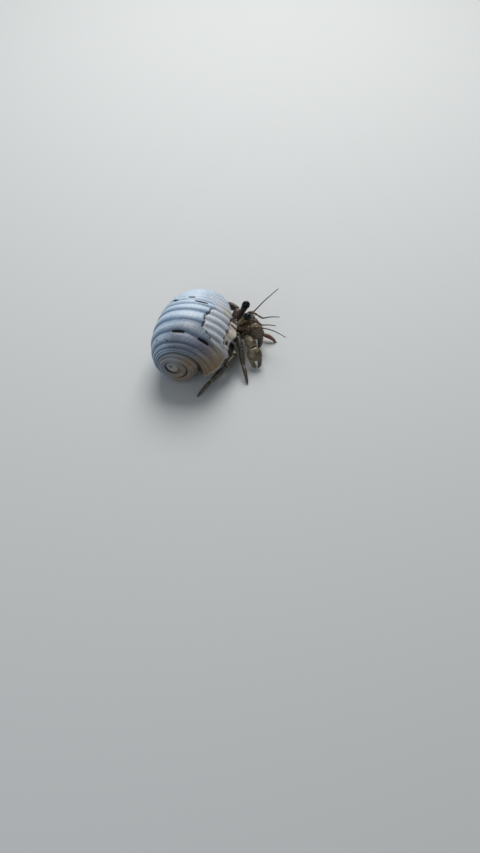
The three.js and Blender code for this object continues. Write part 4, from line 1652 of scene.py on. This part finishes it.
@dataclass
class Studio:
    """Pale board, a big soft light high behind on the right, a weak fill and the camera."""

    eye: Vec = (9.45, -125.79, 155.41)
    tilt: float = math.radians(35)
    field_of_view: float = math.radians(60)
    film: float = 36.0
    nearest: float = 1.0  # mm from the camera to where it starts to see
    board: float = 3000.0
    daylight: str = "#d6dadc"
    daylight_strength: float = 0.37

    def build(self, floor: Finish) -> None:
        """Sets up the board, the lights, the surroundings and the camera.

        Args:
            floor: Finish of the board.
        """
        board = new_primitive("studio_board", bpy.ops.mesh.primitive_plane_add, size=self.board * MM)
        board.data.materials.append(floor.build())
        self.soft_light("key", at=(20, 225, 300), size=240, power=1.65, colour="#fffdfa")
        self.soft_light("fill", at=(-160, -260, 240), size=300, power=0.3, colour="#dfe9f5")
        world = bpy.data.worlds.new("studio")
        world.use_nodes = True
        background = world.node_tree.nodes["Background"]
        background.inputs["Color"].default_value = linear(self.daylight)
        background.inputs["Strength"].default_value = self.daylight_strength
        bpy.context.scene.world = world
        data = bpy.data.cameras.new("camera")
        data.sensor_width = self.film
        data.lens = self.film / 2 / math.tan(self.field_of_view / 2)
        data.clip_start = self.nearest * MM
        camera = bpy.data.objects.new("camera", data)
        bpy.context.scene.collection.objects.link(camera)
        camera.location = (Vector(self.eye) - MIDDLE) * MM
        camera.rotation_euler = Euler((self.tilt, 0, 0))
        bpy.context.scene.camera = camera
        bpy.context.scene.view_settings.view_transform = "Standard"

    def soft_light(self, name: str, at: Vec, size: float, power: float, colour: str) -> None:
        """Hangs a square soft light that faces the animal.

        Args:
            name: Its name.
            at: Where it hangs, in mm from the middle of the footprint.
            size: Length of its side in mm.
            power: Watts.
            colour: Its colour as sRGB hex.
        """
        data = bpy.data.lights.new(name, "AREA")
        data.size = size * MM
        data.energy = power
        data.color = linear(colour)[:3]
        lamp = bpy.data.objects.new(name, data)
        bpy.context.scene.collection.objects.link(lamp)
        lamp.location = Vector(at) * MM
        lamp.rotation_euler = (-Vector(at)).to_track_quat("-Z", "Y").to_euler()


# ---- where the parts go -------------------------------------------------------------------------

EYES = (
    Eye(Side.RIGHT, foot=(9.2, 11.2, 8.0), tip=(11.9, 9.9, 12.9)),
    Eye(Side.LEFT, foot=(8.9, 12.9, 8.1), tip=(11.5, 14.0, 13.6)),
)
FEELERS = (
    Feeler(
        "antenna_right",
        stalk=((9.2, 10.2, 7.2), (11.6, 9.7, 7.9), (14.4, 9.9, 8.1)), stalk_radii=(0.85, 0.75, 0.55),
        whip=((18.2, 9.1, 7.7), (21.8, 7.4, 6.8)), whip_radii=(0.2, 0.1),
    ),
    Feeler(
        "antenna_left",
        stalk=((9.2, 13.8, 7.2), (11.2, 14.4, 8.2), (13.1, 14.5, 9.2)), stalk_radii=(0.66, 0.56, 0.4),
        whip=((16.2, 16.6, 11.5), (19.8, 18.4, 14.1)), whip_radii=(0.2, 0.1),
    ),
    Feeler(
        "antennule_right",
        stalk=((10.0, 11.5, 7.2), (12.6, 11.3, 9.4), (15.4, 10.2, 8.6)), stalk_radii=(0.42, 0.32, 0.24),
        whip=((17.2, 10.0, 8.9), (19.0, 9.6, 9.0)), whip_radii=(0.2, 0.12),
    ),
    Feeler(
        "antennule_left",
        stalk=((10.0, 12.5, 7.2), (12.2, 13.0, 10.6), (15.6, 11.6, 9.8)), stalk_radii=(0.42, 0.32, 0.24),
        whip=((17.6, 11.5, 10.4), (20.0, 11.3, 10.6)), whip_radii=(0.2, 0.12),
    ),
)
JAW_ROWS = ((0, 0.5, 0.45), (0.5, 0.66, 0.56), (1, 0.32, 0.3))
HIND_ROWS = ((0, 0.5, 0.45), (0.5, 0.6, 0.5), (1, 0.3, 0.3))
SMALL_LIMBS = (
    SmallLimb("maxilliped_right", ((9.9, 11.3, 5.9), (10.9, 11.3, 5.0), (11.1, 11.0, 2.9)), JAW_ROWS),
    SmallLimb("maxilliped_left", ((9.9, 12.7, 5.9), (10.8, 12.6, 4.8), (11.0, 12.3, 2.7)), JAW_ROWS),
    SmallLimb(
        "leg4_right", ((5.2, 9.6, 3.4), (4.4, 7.4, 5.2), (3.6, 5.6, 4.6), (4.2, 4.4, 3.6)), HIND_ROWS
    ),
    SmallLimb(
        "leg4_left", ((5.2, 14.4, 3.4), (4.4, 16.2, 5.2), (3.8, 17.8, 4.8), (4.4, 18.9, 3.8)), HIND_ROWS
    )
)
LEGS = (
    WalkingLeg(
        "leg2_right",
        ((8.0, 9.8, 3.3), (8.9, 7.4, 7.3), (9.6, 4.7, 5.8), (10.3, 1.0, 2.9), (11.5, -3.3, 0))
    ),
    WalkingLeg(
        "leg3_right",
        ((6.5, 9.3, 2.4), (8.0, 2.4, 5.0), (5.7, -1.1, 4.7), (1.9, -4.4, 2.9), (-1.9, -7.5, 0))
    ),
    WalkingLeg(
        "leg2_left",
        ((8.6, 14.1, 3.2), (11.0, 16.8, 5.9), (13.2, 16.0, 5.0), (15.8, 13.0, 1.9), (19.6, 11.6, 0))
    ),
    WalkingLeg(
        "leg3_left",
        ((6.4, 14.4, 3.0), (9.0, 18.7, 6.0), (6.0, 21.3, 4.9), (3.1, 23.9, 2.7), (0.2, 25.6, 0))
    )
)
CHELIPEDS = (
    Cheliped(
        Side.RIGHT, shoulder=(9.9, 10.5, 4.4), elbow=(11.0, 8.3, 6.5), wrist=(12.9, 5.2, 5.3),
        tip=(14.2, 1.9, 0.5), palm=(2.1, 1.4), finger=0.6,
    ),
    Cheliped(
        Side.LEFT, shoulder=(9.7, 13.6, 4.6), elbow=(11.6, 14.4, 6.4), wrist=(13.4, 13.0, 6.6),
        tip=(14.3, 9.0, 0.5), palm=(2.15, 1.5), finger=0.75,
    ),
)


def main() -> None:
    """Builds the crab, piece by piece, in its studio."""
    logging.basicConfig(level=logging.INFO, format="%(message)s")
    # back_shade sets how much shade is painted along the back of each segment
    limb = Cuticle("olive_cuticle", "#544e3a", "#29251b", "#7f775d", back_shade=1.2)
    claw = Cuticle("claw_cuticle", "#655a43", "#322b20", "#94866c", granule=0.2, back_shade=1.0)
    nail = Cuticle("finger_cuticle", "#574a39", "#30281e", "#857660", tip="#1f1813", tip_from=0.75)
    dactyl = Cuticle("dactyl_cuticle", "#4c4132", "#281f18", "#6f614d", tip="#181210", tip_from=0.7)
    shield = Cuticle("shield_cuticle", "#4b3a30", "#241b19", "#756252", mottle=0.8)
    # the eyestalks wear a paler lit copy and a darker shaded copy of one cuticle: painted light and
    # painted shade
    lit_near_stalk = Cuticle("lit_near_stalk_cuticle", "#776a50", "#3b3024", "#94866a", back_shade=0.3)
    shaded_far_stalk = Cuticle("dark_stalk_cuticle", "#4f4534", "#0d0a09", "#6f634d", back_shade=2.4)
    feeler = Cuticle("feeler_cuticle", "#4f3625", "#26190f", "#7a573b", bump=0.3)
    whip = Cuticle("whip_cuticle", "#2f2c25", "#191714", "#4a4235", bump=0.3)
    rosy = Cuticle("rosy_dactyl_cuticle", "#7c5043", "#4b2e27", "#a47a6b", tip="#33201b", tip_from=0.75)
    shaded_far_leg = Cuticle("shaded_far_leg_cuticle", "#3d2d27", "#1b1310", "#5c4a40", back_shade=0.6)
    seta = Cuticle("seta_chitin", "#4a3a28", "#2a2018", "#6b5840", bump=0.0)

    shell = BorrowedShell()
    shell.build(ShellAragonite())
    SoftBelly().build(shell, SoftSkin())

    head_hairs, limb_hairs, claw_hairs = Bristles(11), Bristles(23), Bristles(37)
    Body().build(shield, limb, head_hairs)
    for eye, stalk in zip(EYES, (lit_near_stalk, shaded_far_stalk)):
        eye.build(stalk, Cornea())
    for one in FEELERS:
        one.build(feeler, whip, head_hairs)
    for small in SMALL_LIMBS:
        small.build(limb, head_hairs)
    for leg in LEGS:
        # the far left third leg wears a darker copy of the limb cuticle: painted shade
        upper = shaded_far_leg if leg.name == "leg3_left" else limb
        leg.build(upper, rosy if leg.name == "leg2_left" else dactyl, limb_hairs)
    for arm in CHELIPEDS:
        arm.build(limb, claw, nail, claw_hairs)
    head_hairs.build("setae_head", seta)
    limb_hairs.build("setae_legs", seta)
    claw_hairs.build("setae_claws", seta)
    Studio().build(StudioFloor())


if __name__ == "__main__":
    main()
